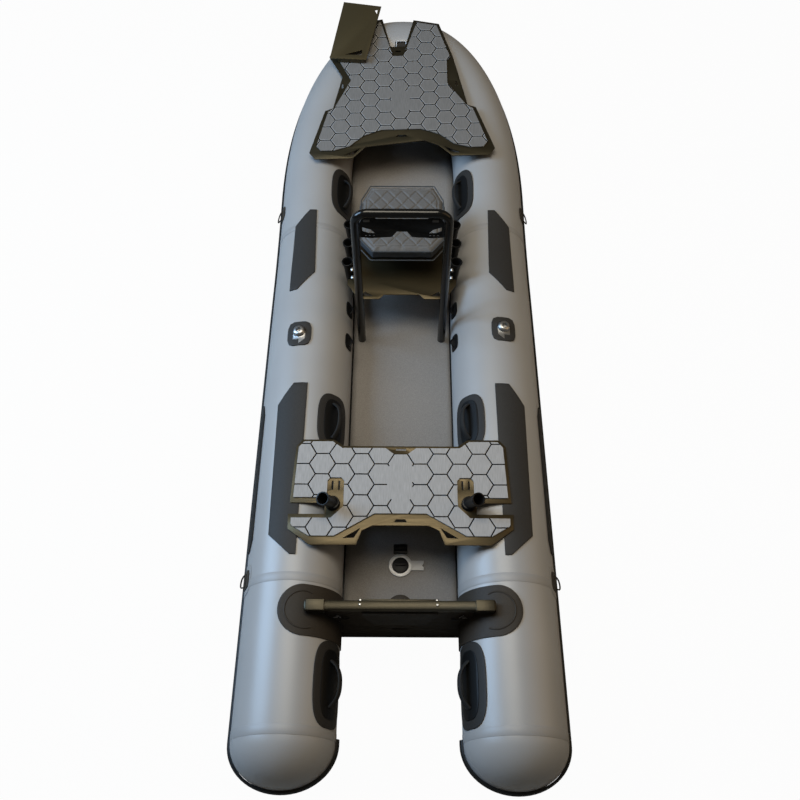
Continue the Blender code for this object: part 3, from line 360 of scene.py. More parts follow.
def sweep(points, radii, section=ellipse(10), closed=False, up=Vector((0, 0, 1))):
    """A tube along the points, of a section given in (side, up) shares of the radius."""
    points = [Vector(p) for p in points]
    if not hasattr(radii, "__len__"):
        radii = [radii] * len(points)
    count = len(points)
    rings = []
    for i, (point, radius) in enumerate(zip(points, radii)):
        before = points[(i - 1) % count] if closed or i else point
        after = points[(i + 1) % count] if closed or i < count - 1 else point
        along = (after - before).normalized()
        side = along.cross(up)
        if side.length < 1e-4:
            side = along.cross(ALONG_HULL)
        side.normalize()
        lift = side.cross(along).normalized()
        rings.append([point + side * (a * radius) + lift * (b * radius) for a, b in section])
    return loft(rings, closed=closed)


FLAT_JOIN = math.radians(0.6)
SHARP_EDGE = math.radians(40)


def bevelled(mesh, width, segments=2):
    """The mesh with its sharp edges rounded."""
    bm = bmesh.new()
    bm.from_mesh(mesh)
    bmesh.ops.remove_doubles(bm, verts=bm.verts, dist=2e-6)
    bmesh.ops.dissolve_limit(bm, angle_limit=FLAT_JOIN, verts=bm.verts, edges=bm.edges)
    sharp = [e for e in bm.edges if len(e.link_faces) == 2 and e.calc_face_angle(0.0) > SHARP_EDGE]
    bmesh.ops.bevel(
        bm, geom=sharp, offset=width, segments=segments, profile=0.5, affect="EDGES", clamp_overlap=True
    )
    return plain_mesh(bm)


def dressed(node, prefix, material, slot, width=0.0008, body="hull"):
    """A node's own shape with rounded edges and a finish."""
    mesh = bevelled(NODES[node].data.copy(), width)
    piece(prefix + node, mesh, material, (node,), body, slot, shift=False)


def carved(base, cutter):
    """The base less a cutter that may cross itself. The cut faces have the cutter's materials."""
    target = placed("carved_base", base)
    tool = placed("carving_tool", cutter)
    modifier = target.modifiers.new("boolean", "BOOLEAN")
    modifier.operation = "DIFFERENCE"
    modifier.solver = "EXACT"
    modifier.use_self = True
    modifier.material_mode = "TRANSFER"
    modifier.object = tool
    mesh = evaluated(target)
    for obj in (target, tool):
        bpy.data.objects.remove(obj, do_unlink=True)
    return mesh


# The hull's form


def smooth(t):
    """A soft step from 0 to 1."""
    t = min(max(t, 0.0), 1.0)
    return t * t * (3 - 2 * t)


def hull_radius(y):
    return TUBE_R_STERN + (TUBE_R_FORE - TUBE_R_STERN) * smooth(y / BOW_START_Y)


def hull_rise(y):
    return BOW_RISE * max((y - RISE_START_Y) / (NOSE_Y - RISE_START_Y), 0.0) ** RISE_POWER


def upright_stretch(y):
    """How much taller an upright cut through the rising tube is than the tube."""
    slope = (hull_rise(y + 0.01) - hull_rise(y - 0.01)) / 0.02
    return math.sqrt(1 + slope**2)


def tube_centre(y, side):
    t = min(max((y - BOW_START_Y) / (NOSE_Y - BOW_START_Y), 0.0), 1.0)
    outer = TUBE_OUTER_X * (1 - t**BOW_FULLNESS) ** (1 / BOW_FULLNESS)
    radius = hull_radius(y)
    return Vector((side * (outer - radius), y, radius + hull_rise(y)))


def bow_station(angle):
    """Centre, outward normal and radius of the bow tube, from 0 at starboard to pi at port."""
    power = 2 / BOW_FULLNESS
    cosine, sine = math.cos(angle), math.sin(angle)
    depth = NOSE_Y - BOW_START_Y
    x = TUBE_OUTER_X * signed_power(cosine, power)
    share = abs(sine) ** power
    y = BOW_START_Y + depth * share
    slope_x = signed_power(x / TUBE_OUTER_X, BOW_FULLNESS - 1) / TUBE_OUTER_X
    slope_y = ((y - BOW_START_Y) / depth) ** (BOW_FULLNESS - 1) / depth
    normal = Vector((slope_x, slope_y, 0.0)).normalized()
    radius = TUBE_R_FORE + (TUBE_R_NOSE - TUBE_R_FORE) * share
    centre = Vector((x, y, 0.0)) - normal * radius
    centre.z = radius + hull_rise(y)
    return centre, normal, radius


def tube_point(y, side, angle, lift):
    """A point at an angle in degrees from the crown of a side tube, positive outboard."""
    centre, radius = tube_centre(y, side), hull_radius(y)
    turned = math.radians(angle)
    x = centre.x + side * (radius + lift) * math.sin(turned)
    z = centre.z + (radius + lift) * upright_stretch(y) * math.cos(turned)
    return Vector((x, y, z))


TUBE_SECTION = ellipse(96)
DOME_STEPS = 18
SMALLEST_RADIUS = 0.002
SIDE_STEP = 0.05
LAST_SIDE_Y = BOW_START_Y - 0.02
BOW_STEPS = 44
BOW_ANGLES = [math.pi / 2 * (k / BOW_STEPS) ** 1.35 for k in range(1, BOW_STEPS + 1)]
JOINT_REACH = 0.026


def side_stations(y):
    """Places along a side tube, from a first one to the bow's start."""
    stations = []
    while y < LAST_SIDE_Y:
        stations.append(y)
        y += SIDE_STEP
    return stations


def hull_line():
    """(centre, radius) all round the hull from the starboard stern, over the bow, to the port stern."""
    half = []
    for k in range(1, DOME_STEPS + 1):
        lean = math.radians(90 * (1 - k / DOME_STEPS))
        y = DOME_START_Y - STERN_DOME * math.sin(lean)
        half.append((tube_centre(y, STARBOARD), max(TUBE_R_STERN * math.cos(lean), SMALLEST_RADIUS)))
    for y in side_stations(DOME_START_Y + SIDE_STEP):
        half.append((tube_centre(y, STARBOARD), hull_radius(y)))
    for angle in BOW_ANGLES:
        centre, _, radius = bow_station(angle)
        half.append((centre, radius))
    other = [(Vector((-c.x, c.y, c.z)), r) for c, r in reversed(half[:-1])]
    return half + other


def make_tubes():
    """The hull's three chambers as smooth tubes that meet at the chamber joints."""
    line = hull_line()
    joints = [i for i, (c, _) in enumerate(line) if abs(c.y - CHAMBER_JOINT_Y) < JOINT_REACH]
    first, last = joints[0], joints[-1]
    spans = {"starboard": line[: first + 1], "bow": line[first : last + 1], "port": line[last:]}
    for place, span in spans.items():
        node = "tube_" + place
        mesh = sweep([c for c, _ in span], [r for _, r in span], TUBE_SECTION)
        piece("air_" + node, mesh, PVC, (node,), slot="pvc_grey", angle=60)


PATCH_THICKNESS = 0.003
PATCH_LIFT = 0.0009
PATCH_STEP, PATCH_TURN = 0.02, 4.0
ROUND_STEPS = 28
ROUND_POWER = 3.2
ROUND_REACH = 0.997


def wrap_sheet(side, stations, thickness=PATCH_THICKNESS, lift=PATCH_LIFT, steps=18, edge=0.0008):
    """A sheet bonded round a side tube, with softened edges. Each station is (y, first, last angle)."""
    rings = []
    for y, first, last in stations:
        angles = [first + (last - first) * k / steps for k in range(steps + 1)]
        under = [tube_point(y, side, a, lift) for a in angles]
        over = [tube_point(y, side, a, lift + thickness) for a in reversed(angles)]
        rings.append(under + over)
    return bevelled(loft(rings), edge)


def between(stations):
    """The stations with others between them, a small step and turn apart."""
    close = [stations[0]]
    for before, after in zip(stations, stations[1:]):
        swing = max(abs(after[1] - before[1]), abs(after[2] - before[2]))
        count = max(math.ceil((after[0] - before[0]) / PATCH_STEP), math.ceil(swing / PATCH_TURN))
        for k in range(1, count + 1):
            close.append(tuple(a + (b - a) * k / count for a, b in zip(before, after)))
    return close


def rounded(y_centre, half_length, angle, half_angle):
    """Stations of a patch with an oblong, well rounded outline."""
    stations = []
    for k in range(ROUND_STEPS + 1):
        s = -ROUND_REACH * math.cos(math.pi * k / ROUND_STEPS)
        half = half_angle * (1 - abs(s) ** ROUND_POWER) ** (1 / ROUND_POWER)
        stations.append((y_centre + half_length * s, angle - half, angle + half))
    return stations


SEAM_WIDTH = 0.030
SEAM_END_ANGLE = 178.0
SEAMS_Y = (DOME_START_Y + 0.018, -1.06, CHAMBER_JOINT_Y)


def seam_tape(side, y):
    """A thin tape round a side tube."""
    aft = y - SEAM_WIDTH / 2
    ring = [(aft + SEAM_WIDTH * k / 3, -SEAM_END_ANGLE, SEAM_END_ANGLE) for k in range(4)]
    return wrap_sheet(side, ring, thickness=0.0007, lift=0.0001, steps=72, edge=0.0003)


def make_seams():
    for label, side in SIDES:
        tapes = [seam_tape(side, y) for y in SEAMS_Y]
        piece("seam_tapes_" + label, joined(*tapes), PVC_TAPE, slot="pvc_grey", angle=60)


# Place, middle, half length, and in degrees the angle from the tube's crown and the half angle
HANDLES = (
    ("front", 0.722, 0.122, -56.0, 27.0),
    ("middle", -0.448, 0.115, -44.0, 23.0),
    ("rear", FLOOR_AFT_Y - 0.242, 0.135, -60.0, 25.0),
)
# The raised pad is painted shade: a black sheet for the shade under the arched grip.
HANDLE_PAD_LENGTH, HANDLE_PAD_WIDTH = 0.80, 0.62
HANDLE_PAD_THICKNESS, HANDLE_PAD_LIFT = 0.0025, 0.0035
GRIP_STEPS = 32
GRIP_HALF_LENGTH = 0.072
GRIP_RISE, GRIP_END_LIFT = 0.034, 0.0066
GRIP_HALF_WIDTH, GRIP_END_FLARE = 0.0088, 0.003
GRIP_SECTION = ellipse(20, 1.15, 0.50)


def handle_grip(side, y, angle):
    """A flat strap that arches off the tube and widens at its ends."""
    points, widths = [], []
    for k in range(GRIP_STEPS + 1):
        s = -math.cos(math.pi * k / GRIP_STEPS)
        lift = GRIP_RISE * (1 - abs(s) ** 2.6) + GRIP_END_LIFT
        points.append(tube_point(y + GRIP_HALF_LENGTH * s, side, angle, lift))
        widths.append(GRIP_HALF_WIDTH + GRIP_END_FLARE * abs(s) ** 6)
    outward = tube_point(y, side, angle, 0.1) - tube_point(y, side, angle, 0.0)
    return sweep(points, widths, GRIP_SECTION, up=outward.normalized())


def make_handles():
    """Carry handles: a bonded patch, a raised black pad that is painted shade under the arched grip, and a
    webbing grip.
    """
    for label, side in SIDES:
        for place, y, half_length, angle, half_angle in HANDLES:
            patch = wrap_sheet(side, rounded(y, half_length, angle, half_angle))
            raised = rounded(y, half_length * HANDLE_PAD_LENGTH, angle, half_angle * HANDLE_PAD_WIDTH)
            # The raised black pad paints the shade under the grip.
            pad = wrap_sheet(side, raised, HANDLE_PAD_THICKNESS, HANDLE_PAD_LIFT)
            mesh = layered(patch, pad, handle_grip(side, y, angle))
            name = "carry_handle_" + place + "_" + label
            piece("webbing_" + name, mesh, [HANDLE_PATCH, RUBBER, WEBBING], (name,), slot="rubber_black")


# Stations of the bonded strips: (y, first angle, last angle) in degrees from the tube's crown
CHAFE_STRIPS = (
    ("front", ((0.148, 18.0, 30.0), (0.236, -6.0, 30.0), (0.502, -6.0, 28.0), (0.582, -6.0, 5.0))),
    ("rear", ((-0.985, -6.0, 1.5), (-0.909, -6.0, 29.0), (-0.391, -6.0, 32.0), (-0.305, -6.0, 12.0))),
)
SIDE_PANEL = ((-0.940, 66.0, 77.0), (-0.900, 60.0, 83.5), (-0.400, 60.0, 83.5), (-0.350, 66.0, 77.0))
WRAP_MIDDLE_Y = FLOOR_AFT_Y - 0.021
WRAP_HALF_LENGTH = 0.085
WRAP_INNER_ANGLE, WRAP_OUTER_ANGLE = -100.0, 10.0
WRAP_STEPS = 30
WRAP_HALF_ANGLE = math.degrees(WRAP_HALF_LENGTH / TUBE_R_STERN)


def wrap_stations():
    """Stations of a transom wrap, with a round outer end."""
    stations = []
    for k in range(WRAP_STEPS + 1):
        s = -ROUND_REACH * math.cos(math.pi * k / WRAP_STEPS)
        corner = WRAP_HALF_ANGLE * (1 - math.sqrt(1 - s * s))
        stations.append((WRAP_MIDDLE_Y + s * WRAP_HALF_LENGTH, WRAP_INNER_ANGLE, WRAP_OUTER_ANGLE - corner))
    return stations


def make_patches():
    """Chafe strips, side panels and transom wraps."""
    for label, side in SIDES:
        for place, stations in CHAFE_STRIPS:
            node = "chafe_strip_" + place + "_" + label
            mesh = wrap_sheet(side, between(stations), steps=12)
            piece("bonded_" + node, mesh, CHAFE_DARK, (node,), slot="pvc_dark")
        node = "side_panel_" + label
        mesh = wrap_sheet(side, between(SIDE_PANEL), steps=10)
        piece("bonded_" + node, mesh, PANEL_DARK, (node,), slot="pvc_dark")
        node = "transom_wrap_" + label
        mesh = wrap_sheet(side, wrap_stations(), steps=40)
        piece("bonded_" + node, mesh, PVC_DARK, (node,), slot="pvc_dark")


STRAKE_END_Y = -1.545
STRAKE_TURN_STEPS = 32
STRAKE_SIDE_Y = -1.45
STRAKE_HALF_WIDTH, STRAKE_DEPTH = 0.015, 0.010
STRAKE_LIFT = 0.0009
# Half of the strake's section, as shares of its depth and half width, with its lower groove
STRAKE_SECTION = ((0.0, -1.0), (0.35, -0.95), (0.62, -0.80), (0.86, -0.52), (0.78, -0.36), (0.97, -0.20))


def strake_line(side):
    """(point, outward normal) along a strake, from inside the stern's dome to the nose."""
    centre = tube_centre(DOME_START_Y, side)
    inner = Vector((-side, 0, 0))
    line = [(Vector((centre.x, STRAKE_END_Y, centre.z)) + inner * TUBE_R_STERN, inner)]
    for k in range(STRAKE_TURN_STEPS + 1):
        lean = math.pi * (1 - k / STRAKE_TURN_STEPS)
        across, along = side * math.cos(lean), -math.sin(lean)
        point = Vector((centre.x + across * TUBE_R_STERN, DOME_START_Y + along * STERN_DOME, centre.z))
        normal = Vector((across / TUBE_R_STERN, along / STERN_DOME, 0)).normalized()
        line.append((point, normal))
    outward = Vector((side, 0, 0))
    for y in side_stations(STRAKE_SIDE_Y):
        line.append((tube_centre(y, side) + outward * hull_radius(y), outward))
    for angle in BOW_ANGLES:
        centre, normal, radius = bow_station(angle)
        centre = Vector((side * centre.x, centre.y, centre.z))
        normal = Vector((side * normal.x, normal.y, 0.0))
        line.append((centre + normal * radius, normal))
    return line


def make_strakes():
    """Rubbing strakes: a D section with two shallow grooves."""
    section = [*STRAKE_SECTION, (1.0, 0.0)] + [(d, -h) for d, h in reversed(STRAKE_SECTION)]
    out = [STRAKE_LIFT + d * STRAKE_DEPTH for d, _ in section]
    up = [Vector((0, 0, h * STRAKE_HALF_WIDTH)) for _, h in section]
    for label, side in SIDES:
        rings = [[point + normal * d + h for d, h in zip(out, up)] for point, normal in strake_line(side)]
        node = "rub_strake_" + label
        piece("ribbed_" + node, loft(rings), STRAKE, (node,), slot="rubber_black", angle=50)


# Hexagon-grooved foam pads


def top_loop(node, up):
    """The outline of a flat part's upper face, in order, from its mesh."""
    bm = bmesh.new()
    bm.from_mesh(NODES[node].data)
    bmesh.ops.remove_doubles(bm, verts=bm.verts, dist=1e-5)
    bm.normal_update()
    top = {f for f in bm.faces if f.normal.dot(up) > 0.99}
    edges = [e for e in bm.edges if sum(f in top for f in e.link_faces) == 1]
    links = {}
    for edge in edges:
        for a, b in (edge.verts, reversed(edge.verts)):
            links.setdefault(a, []).append(b)
    start = max(links, key=lambda v: v.co.length)
    loop, before, here = [start], None, start
    while True:
        following = [v for v in links[here] if v is not before][0]
        if following is start:
            break
        loop.append(following)
        before, here = here, following
    points = [v.co.copy() for v in loop]
    bm.free()
    return points


BLANK_STEPS = 24


def outside_blank(a, b, blank):
    """The stretch of an edge that lies outside the blank rectangle in the middle of a pad, or nothing."""
    left, right, low, high = blank
    run, rise = b[0] - a[0], b[1] - a[1]
    points = [(a[0] + run * k / BLANK_STEPS, a[1] + rise * k / BLANK_STEPS) for k in range(BLANK_STEPS + 1)]
    clear = [p for p in points if not (left < p[0] < right and low < p[1] < high)]
    if len(clear) < 3:
        return None
    return clear[0], clear[-1]


# Corners as shares of the radius and of the row pitch
HEXAGON = ((1, 0), (0.5, 0.5), (-0.5, 0.5), (-1, 0), (-0.5, -0.5), (0.5, -0.5))


def hexagon_edges(columns, rows, column_pitch, row_pitch, row_start, blank):
    """The edges of a flat-topped hexagon lattice, each one once, cut off at the blank middle."""
    radius = column_pitch / 1.5
    found = {}
    for k in range(-columns, columns + 1):
        x = k * column_pitch
        for n in range(-rows, rows + 1):
            y = row_start + (n + k % 2 / 2) * row_pitch
            corners = [(x + radius * a, y + row_pitch * b) for a, b in HEXAGON]
            for a, b in zip(corners, corners[1:] + corners[:1]):
                middle_mm = (round((a[0] + b[0]) * 500), round((a[1] + b[1]) * 500))
                found[middle_mm] = (a, b)
    kept = [outside_blank(a, b, blank) for a, b in found.values()]
    return [edge for edge in kept if edge]


GROOVE_DEPTH, GROOVE_LIP = 0.0030, 0.0006
GROOVE_TAPER = 0.0003
GROOVE_OVERLAP = 0.0008
CUTTER_OUT, CUTTER_OVER = 0.001, 0.0003
PAD_THICKNESS = 0.0058
PAD_EDGE = 0.0012
PAD_MARGIN = 0.01
PAD_SMOOTH_ANGLE = 6


def groove_section(half, rim):
    """A groove across its run: sides and floor inside the half width, a shallow slope out to the rim."""
    one = [(-rim - CUTTER_OUT, CUTTER_OVER), (-half, -GROOVE_LIP), (-half + GROOVE_TAPER, -GROOVE_DEPTH)]
    return one + [(-s, z) for s, z in reversed(one)]


def groove_cutter(edges, outline, section):
    """One mesh of bars over the lattice's edges, the groove's own faces in the second material, which is
    painted shade.
    """
    bm = bmesh.new()
    for a, b in edges:
        a, b = Vector((*a, 0.0)), Vector((*b, 0.0))
        if not any(near_outline(point, outline) for point in (a, b, (a + b) / 2)):
            continue
        along = (b - a).normalized()
        side = Vector((-along.y, along.x, 0.0))
        a, b = a - along * GROOVE_OVERLAP, b + along * GROOVE_OVERLAP
        first = [bm.verts.new(a + side * s + Vector((0, 0, z))) for s, z in section]
        second = [bm.verts.new(b + side * s + Vector((0, 0, z))) for s, z in section]
        count = len(first)
        for i in range(count):
            j = (i + 1) % count
            face = bm.faces.new((first[i], first[j], second[j], second[i]))
            # Walls and floor take the second material, painted shade; rim slopes and top take the third,
            # the rim material.
            face.material_index = 1 if i in (1, 2, 3) else 2
        bm.faces.new(reversed(first)).material_index = 1
        bm.faces.new(second).material_index = 1
    return to_mesh(bm)


def near_outline(point, outline):
    """Whether a point lies inside the outline or within a margin of it."""
    x, y = point.x, point.y
    inside = False
    nearest = math.inf
    for (x0, y0), (x1, y1) in zip(outline, outline[1:] + outline[:1]):
        if (y0 > y) != (y1 > y) and x < (x1 - x0) * (y - y0) / (y1 - y0) + x0:
            inside = not inside
        dx, dy = x1 - x0, y1 - y0
        t = min(max(((x - x0) * dx + (y - y0) * dy) / (dx * dx + dy * dy), 0.0), 1.0)
        nearest = min(nearest, math.hypot(x - x0 - t * dx, y - y0 - t * dy))
    return inside or nearest < PAD_MARGIN


def slab(outline):
    """A flat-topped slab under z = 0 with a softened rim."""
    bm = bmesh.new()
    face = bm.faces.new([bm.verts.new((x, y, 0.0)) for x, y in outline])
    if face.normal.z < 0:
        face.normal_flip()
    made = bmesh.ops.extrude_face_region(bm, geom=[face])
    verts = [v for v in made["geom"] if isinstance(v, bmesh.types.BMVert)]
    bmesh.ops.translate(bm, verts=verts, vec=(0, 0, -PAD_THICKNESS))
    return bevelled(to_mesh(bm), PAD_EDGE)


def grooved_pad(node, place, lattice, foam, rim, widths):
    """A foam pad in the node's own outline, grooved with hexagons, in the plane of its deck."""
    up = (place.to_3x3() @ Vector((0, 0, 1))).normalized()
    back = place.inverted()
    outline = [(back @ point)[:2] for point in top_loop(node, up)]
    base = slab(outline)
    cutter = groove_cutter(hexagon_edges(*lattice), outline, groove_section(*widths))
    # The groove material is painted shade; the front pad's rim material is a painted highlight.
    skins = [foam, GROOVE_PAINTED_SHADE, rim]
    for mesh in (base, cutter):
        for material in skins:
            mesh.materials.append(material)
    mesh = carved(base, cutter)
    mesh.transform(place)
    obj = piece("foam_" + node, mesh, skins, (node,), slot="foam_grey", shift=False, angle=PAD_SMOOTH_ANGLE)


# Columns and rows each way, column and row pitch, first row, and the blank rectangle's sides
REAR_LATTICE = (8, 5, 0.0695, 0.0804, -0.7324, (-0.0475, 0.0415, -0.789, -0.662))
FRONT_LATTICE = (8, 14, 0.0678, 0.0745, 0.2238, (-0.040, 0.046, 0.305, 0.420))
# Half widths of a groove and of its rim
REAR_WIDTHS = (0.0021, 0.0024)
FRONT_WIDTHS = (0.0024, 0.0048)
FRONT_DECK_Y = 0.850
FRONT_SLOPE = math.atan(0.14)
FRONT_TURN = math.radians(2.2)


def front_plane(height):
    """The front deck's plane: origin at the middle of its after edge, Z off the deck."""
    tilt = Matrix.Rotation(FRONT_SLOPE, 4, "X")
    swing = Matrix.Rotation(FRONT_TURN, 4, "Z")
    base = at(0.0, FRONT_DECK_Y + SHIFT.y, 0.0) @ tilt @ swing
    back = base.inverted()
    lift = min((back @ v.co).z for v in NODES["front_deck_plate"].data.vertices)
    return base @ at(0, 0, lift + height)


def make_pads():
    _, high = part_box("rear_deck_pad")
    place = at(0.0, SHIFT.y, high.z)
    grooved_pad("rear_deck_pad", place, REAR_LATTICE, FOAM_REAR, FOAM_REAR, REAR_WIDTHS)
    back = front_plane(0.0).inverted()
    top = max((back @ v.co).z for v in NODES["front_deck_pad"].data.vertices)
    grooved_pad("front_deck_pad", front_plane(top), FRONT_LATTICE, FOAM_FRONT, GROOVE_RIM_PAINTED_HIGHLIGHT, FRONT_WIDTHS)


# Fittings


def make_plates():
    dressed("rear_deck_plate", "bronze_", BRONZE, "bronze_plate")
    # The front deck plate takes the darker bronze, painted shade; the bow mount plate the lighter bronze, a
    # painted reflection.
    dressed("front_deck_plate", "bronze_", BRONZE_PAINTED_SHADE, "bronze_plate")
    dressed("bow_mount_plate", "bronze_", BRONZE_PAINTED_REFLECTION, "bronze_plate", 0.0006)
    dressed("seat_platform", "bronze_", BRONZE, "bronze_plate")
    dressed("backrest_panel", "black_", SATIN_BLACK, "moulded_black", 0.0005)


def make_seat_frame():
    dressed("seat_frame", "gloss_", GLOSS, "tube_black", 0.0004)


CUSHION_CENTRE_Y = 0.405
CUSHION_BOTTOM = 0.410
CUSHION_HEIGHT = 0.062
CUSHION_HALF_WIDTH, CUSHION_HALF_LENGTH = 0.178, 0.186
FORE_CHAMFER = (0.036, 0.080)
AFT_CHAMFER = (0.050, 0.066)
# (inset, height) of the rings of the cushion before it swells, and of its two runs of piping
CUSHION_RINGS = ((0.014, 0.002), (0.006, 0.008), (0.006, 0.044), (0.010, 0.052), (0.020, 0.056))
PIPING = ((0.009, 0.0545), (0.003, 0.010))
PIPING_RADIUS = 0.0026
PIPING_STEPS = 12
BAND_HEIGHT = 0.018
CUSHION_SEAT_GAP = 0.003
CUSHION_FLOOR = 0.001
SWELL_CAP = 0.006
SWELL_FRAMES = 20
SWELL_PRESSURE = 4.0
SWELL_VOXEL = 0.005


def cushion_outline(inset):
    """The octagon of the cushion's edge, from the starboard side forward and round to port."""
    a, b = CUSHION_HALF_WIDTH - inset, CUSHION_HALF_LENGTH - inset
    (fx, fy), (ax, ay) = FORE_CHAMFER, AFT_CHAMFER
    starboard = [(a - ax, -b), (a, -b + ay), (a, b - fy), (a - fx, b)]
    return starboard + [(-x, y) for x, y in reversed(starboard)]


def inside_edge(x, y):
    """How far inside the cushion's outline a point lies, in metres."""
    fx, fy = FORE_CHAMFER if y > 0 else AFT_CHAMFER
    to_side, to_end = CUSHION_HALF_WIDTH - abs(x), CUSHION_HALF_LENGTH - abs(y)
    corner = (to_side * fy + to_end * fx - fx * fy) / math.hypot(fx, fy)
    return min(to_side, to_end, corner)


QUILT_PITCH = 0.058
QUILT_BORDER = 0.034
QUILT_WIDTH = 0.0035
QUILT_DEPTH = 0.0040
QUILT_START, QUILT_FADE = 0.018, 0.012
QUILT_SLANT, QUILT_SQUARE = 0.8, 0.78
DISH_DEPTH, DISH_START, DISH_REACH = 0.004, 0.03, 0.12


def quilt(x, y):
    """How deep the stitching pulls the cover in, 1 on a line of stitches: diamonds inside a border."""
    reach = inside_edge(x, y)
    border = math.exp(-(((reach - QUILT_BORDER) / QUILT_WIDTH) ** 2))
    if reach < QUILT_BORDER:
        return border
    u, v = (x + y * QUILT_SLANT) / QUILT_PITCH, (x - y * QUILT_SLANT) / QUILT_PITCH
    near = min(abs(u - round(u)), abs(v - round(v))) * QUILT_PITCH * QUILT_SQUARE
    return max(border, math.exp(-((near / QUILT_WIDTH) ** 2)))


def swollen(mesh):
    obj = placed("swelling", mesh)
    remesh = obj.modifiers.new("voxels", "REMESH")
    remesh.mode = "VOXEL"
    remesh.voxel_size = SWELL_VOXEL
    base = evaluated(obj)
    obj.modifiers.clear()
    if not SWELL_FRAMES:
        bpy.data.objects.remove(obj, do_unlink=True)
        return base
    obj.data = base
    start = [v.co.copy() for v in base.vertices]
    cloth = obj.modifiers.new("cloth", "CLOTH")
    cloth.settings.use_pressure = True
    cloth.settings.uniform_pressure_force = SWELL_PRESSURE
    cloth.settings.effector_weights.gravity = 0.0
    cloth.settings.quality = 5
    cloth.point_cache.frame_start = 1
    cloth.point_cache.frame_end = SWELL_FRAMES
    scene = bpy.context.scene
    for frame in range(1, SWELL_FRAMES + 1):
        scene.frame_set(frame)
    blown = evaluated(obj)
    for vertex, origin in zip(blown.vertices, start):
        step = vertex.co - origin
        if step.length > SWELL_CAP:
            vertex.co = origin + step * (SWELL_CAP / step.length)
    bpy.data.objects.remove(obj, do_unlink=True)
    scene.frame_set(1)
    return blown


def quilted(mesh):
    """The mesh made finer, with its top pulled in at the stitching and its bottom flat."""
    bm = bmesh.new()
    bm.from_mesh(mesh)
    bmesh.ops.subdivide_edges(bm, edges=bm.edges, cuts=1, use_grid_fill=True, smooth=0.0)
    bm.normal_update()
    for vertex in bm.verts:
        x, y, z = vertex.co
        reach = inside_edge(x, y)
        if vertex.normal.z > 0.3:
            depth = QUILT_DEPTH * quilt(x, y) * smooth((reach - QUILT_START) / QUILT_FADE)
            dip = DISH_DEPTH * smooth((reach - DISH_START) / DISH_REACH)
            vertex.co.z -= depth + dip
        elif z < CUSHION_FLOOR:
            vertex.co.z = CUSHION_FLOOR
    return to_mesh(bm)


def make_cushion():
    """The seat cushion: an octagonal pad with quilted diamonds, boxed sides in a darker copy of its vinyl
    as painted shade, and a dark band below.
    """
    rings = [[(x, y, height) for x, y in cushion_outline(inset)] for inset, height in CUSHION_RINGS]
    mesh = quilted(swollen(loft(rings)))
    top = CUSHION_HEIGHT - max(v.co.z for v in mesh.vertices)
    mesh.transform(at(0, CUSHION_CENTRE_Y, CUSHION_BOTTOM + min(top, CUSHION_SEAT_GAP)))
    for polygon in mesh.polygons:
        # Upward faces take the vinyl; the sides above the band take its darker copy, painted shade.
        side_skin = 1 if polygon.center.z > CUSHION_BOTTOM + BAND_HEIGHT else 2
        polygon.material_index = 0 if polygon.normal.z > 0.35 else side_skin
    skins = [VINYL, VINYL_PAINTED_SHADE, STITCH_BAND]
    cushion = piece("quilted_seat_cushion", mesh, skins, ("seat_cushion",), "seat", "seat_vinyl", angle=70)


def make_piping():
    """The cushion's two runs of piping, round the top and the bottom of its sides."""
    rims = []
    for inset, height in PIPING:
        corners = cushion_outline(inset)
        line = []
        for (x0, y0), (x1, y1) in zip(corners, corners[1:] + corners[:1]):
            for k in range(PIPING_STEPS):
                t = k / PIPING_STEPS
                x, y = x0 + (x1 - x0) * t, y0 + (y1 - y0) * t
                line.append((x, y + CUSHION_CENTRE_Y, CUSHION_BOTTOM + height))
        rims.append(sweep(line, PIPING_RADIUS, closed=True))
    # The piping takes the darker copy of the vinyl, painted shade.
    piece("seat_cushion_piping", joined(*rims), VINYL_PAINTED_SHADE, body="seat", slot="seat_vinyl", angle=70)


def make_rod_racks():
    for label, _ in SIDES:
        for node in ("rod_rack_" + label, "rear_rod_holder_" + label):
            dressed(node, "moulded_", MOULDED, "moulded_black", 0.0005)


def make_floor():
    node = "floor_panel"
    mesh = bevelled(NODES[node].data.copy(), 0.0006, 1)
    piece("woven_floor_panel", mesh, FLOOR, (node,), slot="floor_grey", shift=False, angle=70)


DRAIN_CENTRE_Y = -1.098
# (radius, height) from the middle to the edge
DRAIN_PROFILE = ((0, 0.0022), (0.014, 0.0030), (0.040, 0.0028), (0.045, 0.0008), (0.045, 0), (0, 0))
FLOOR_CLEARANCE = 0.0004
ROWLOCK_FLANGE_RADIUS = 0.024


def make_drain():
    disc = moved(lathe(DRAIN_PROFILE), at(0, DRAIN_CENTRE_Y, FLOOR_TOP + FLOOR_CLEARANCE))
    piece("bonded_floor_drain_patch", disc, PVC_DARK, ("floor_drain_patch",), slot="pvc_dark")


def make_rowlock(label):
    """A rowlock socket: a dark bonded foot under a metal tube."""
    node = "oarlock_socket_" + label
    mesh = bevelled(NODES[node].data.copy(), 0.0004)
    low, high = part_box(node)
    for polygon in mesh.polygons:
        reach = (polygon.center - (low + high) / 2).to_2d().length
        polygon.material_index = 1 if reach < ROWLOCK_FLANGE_RADIUS and polygon.normal.z > -0.5 else 0
    piece("finished_" + node, mesh, [CHAFE_DARK, STEEL], (node,), slot="moulded_black", shift=False)


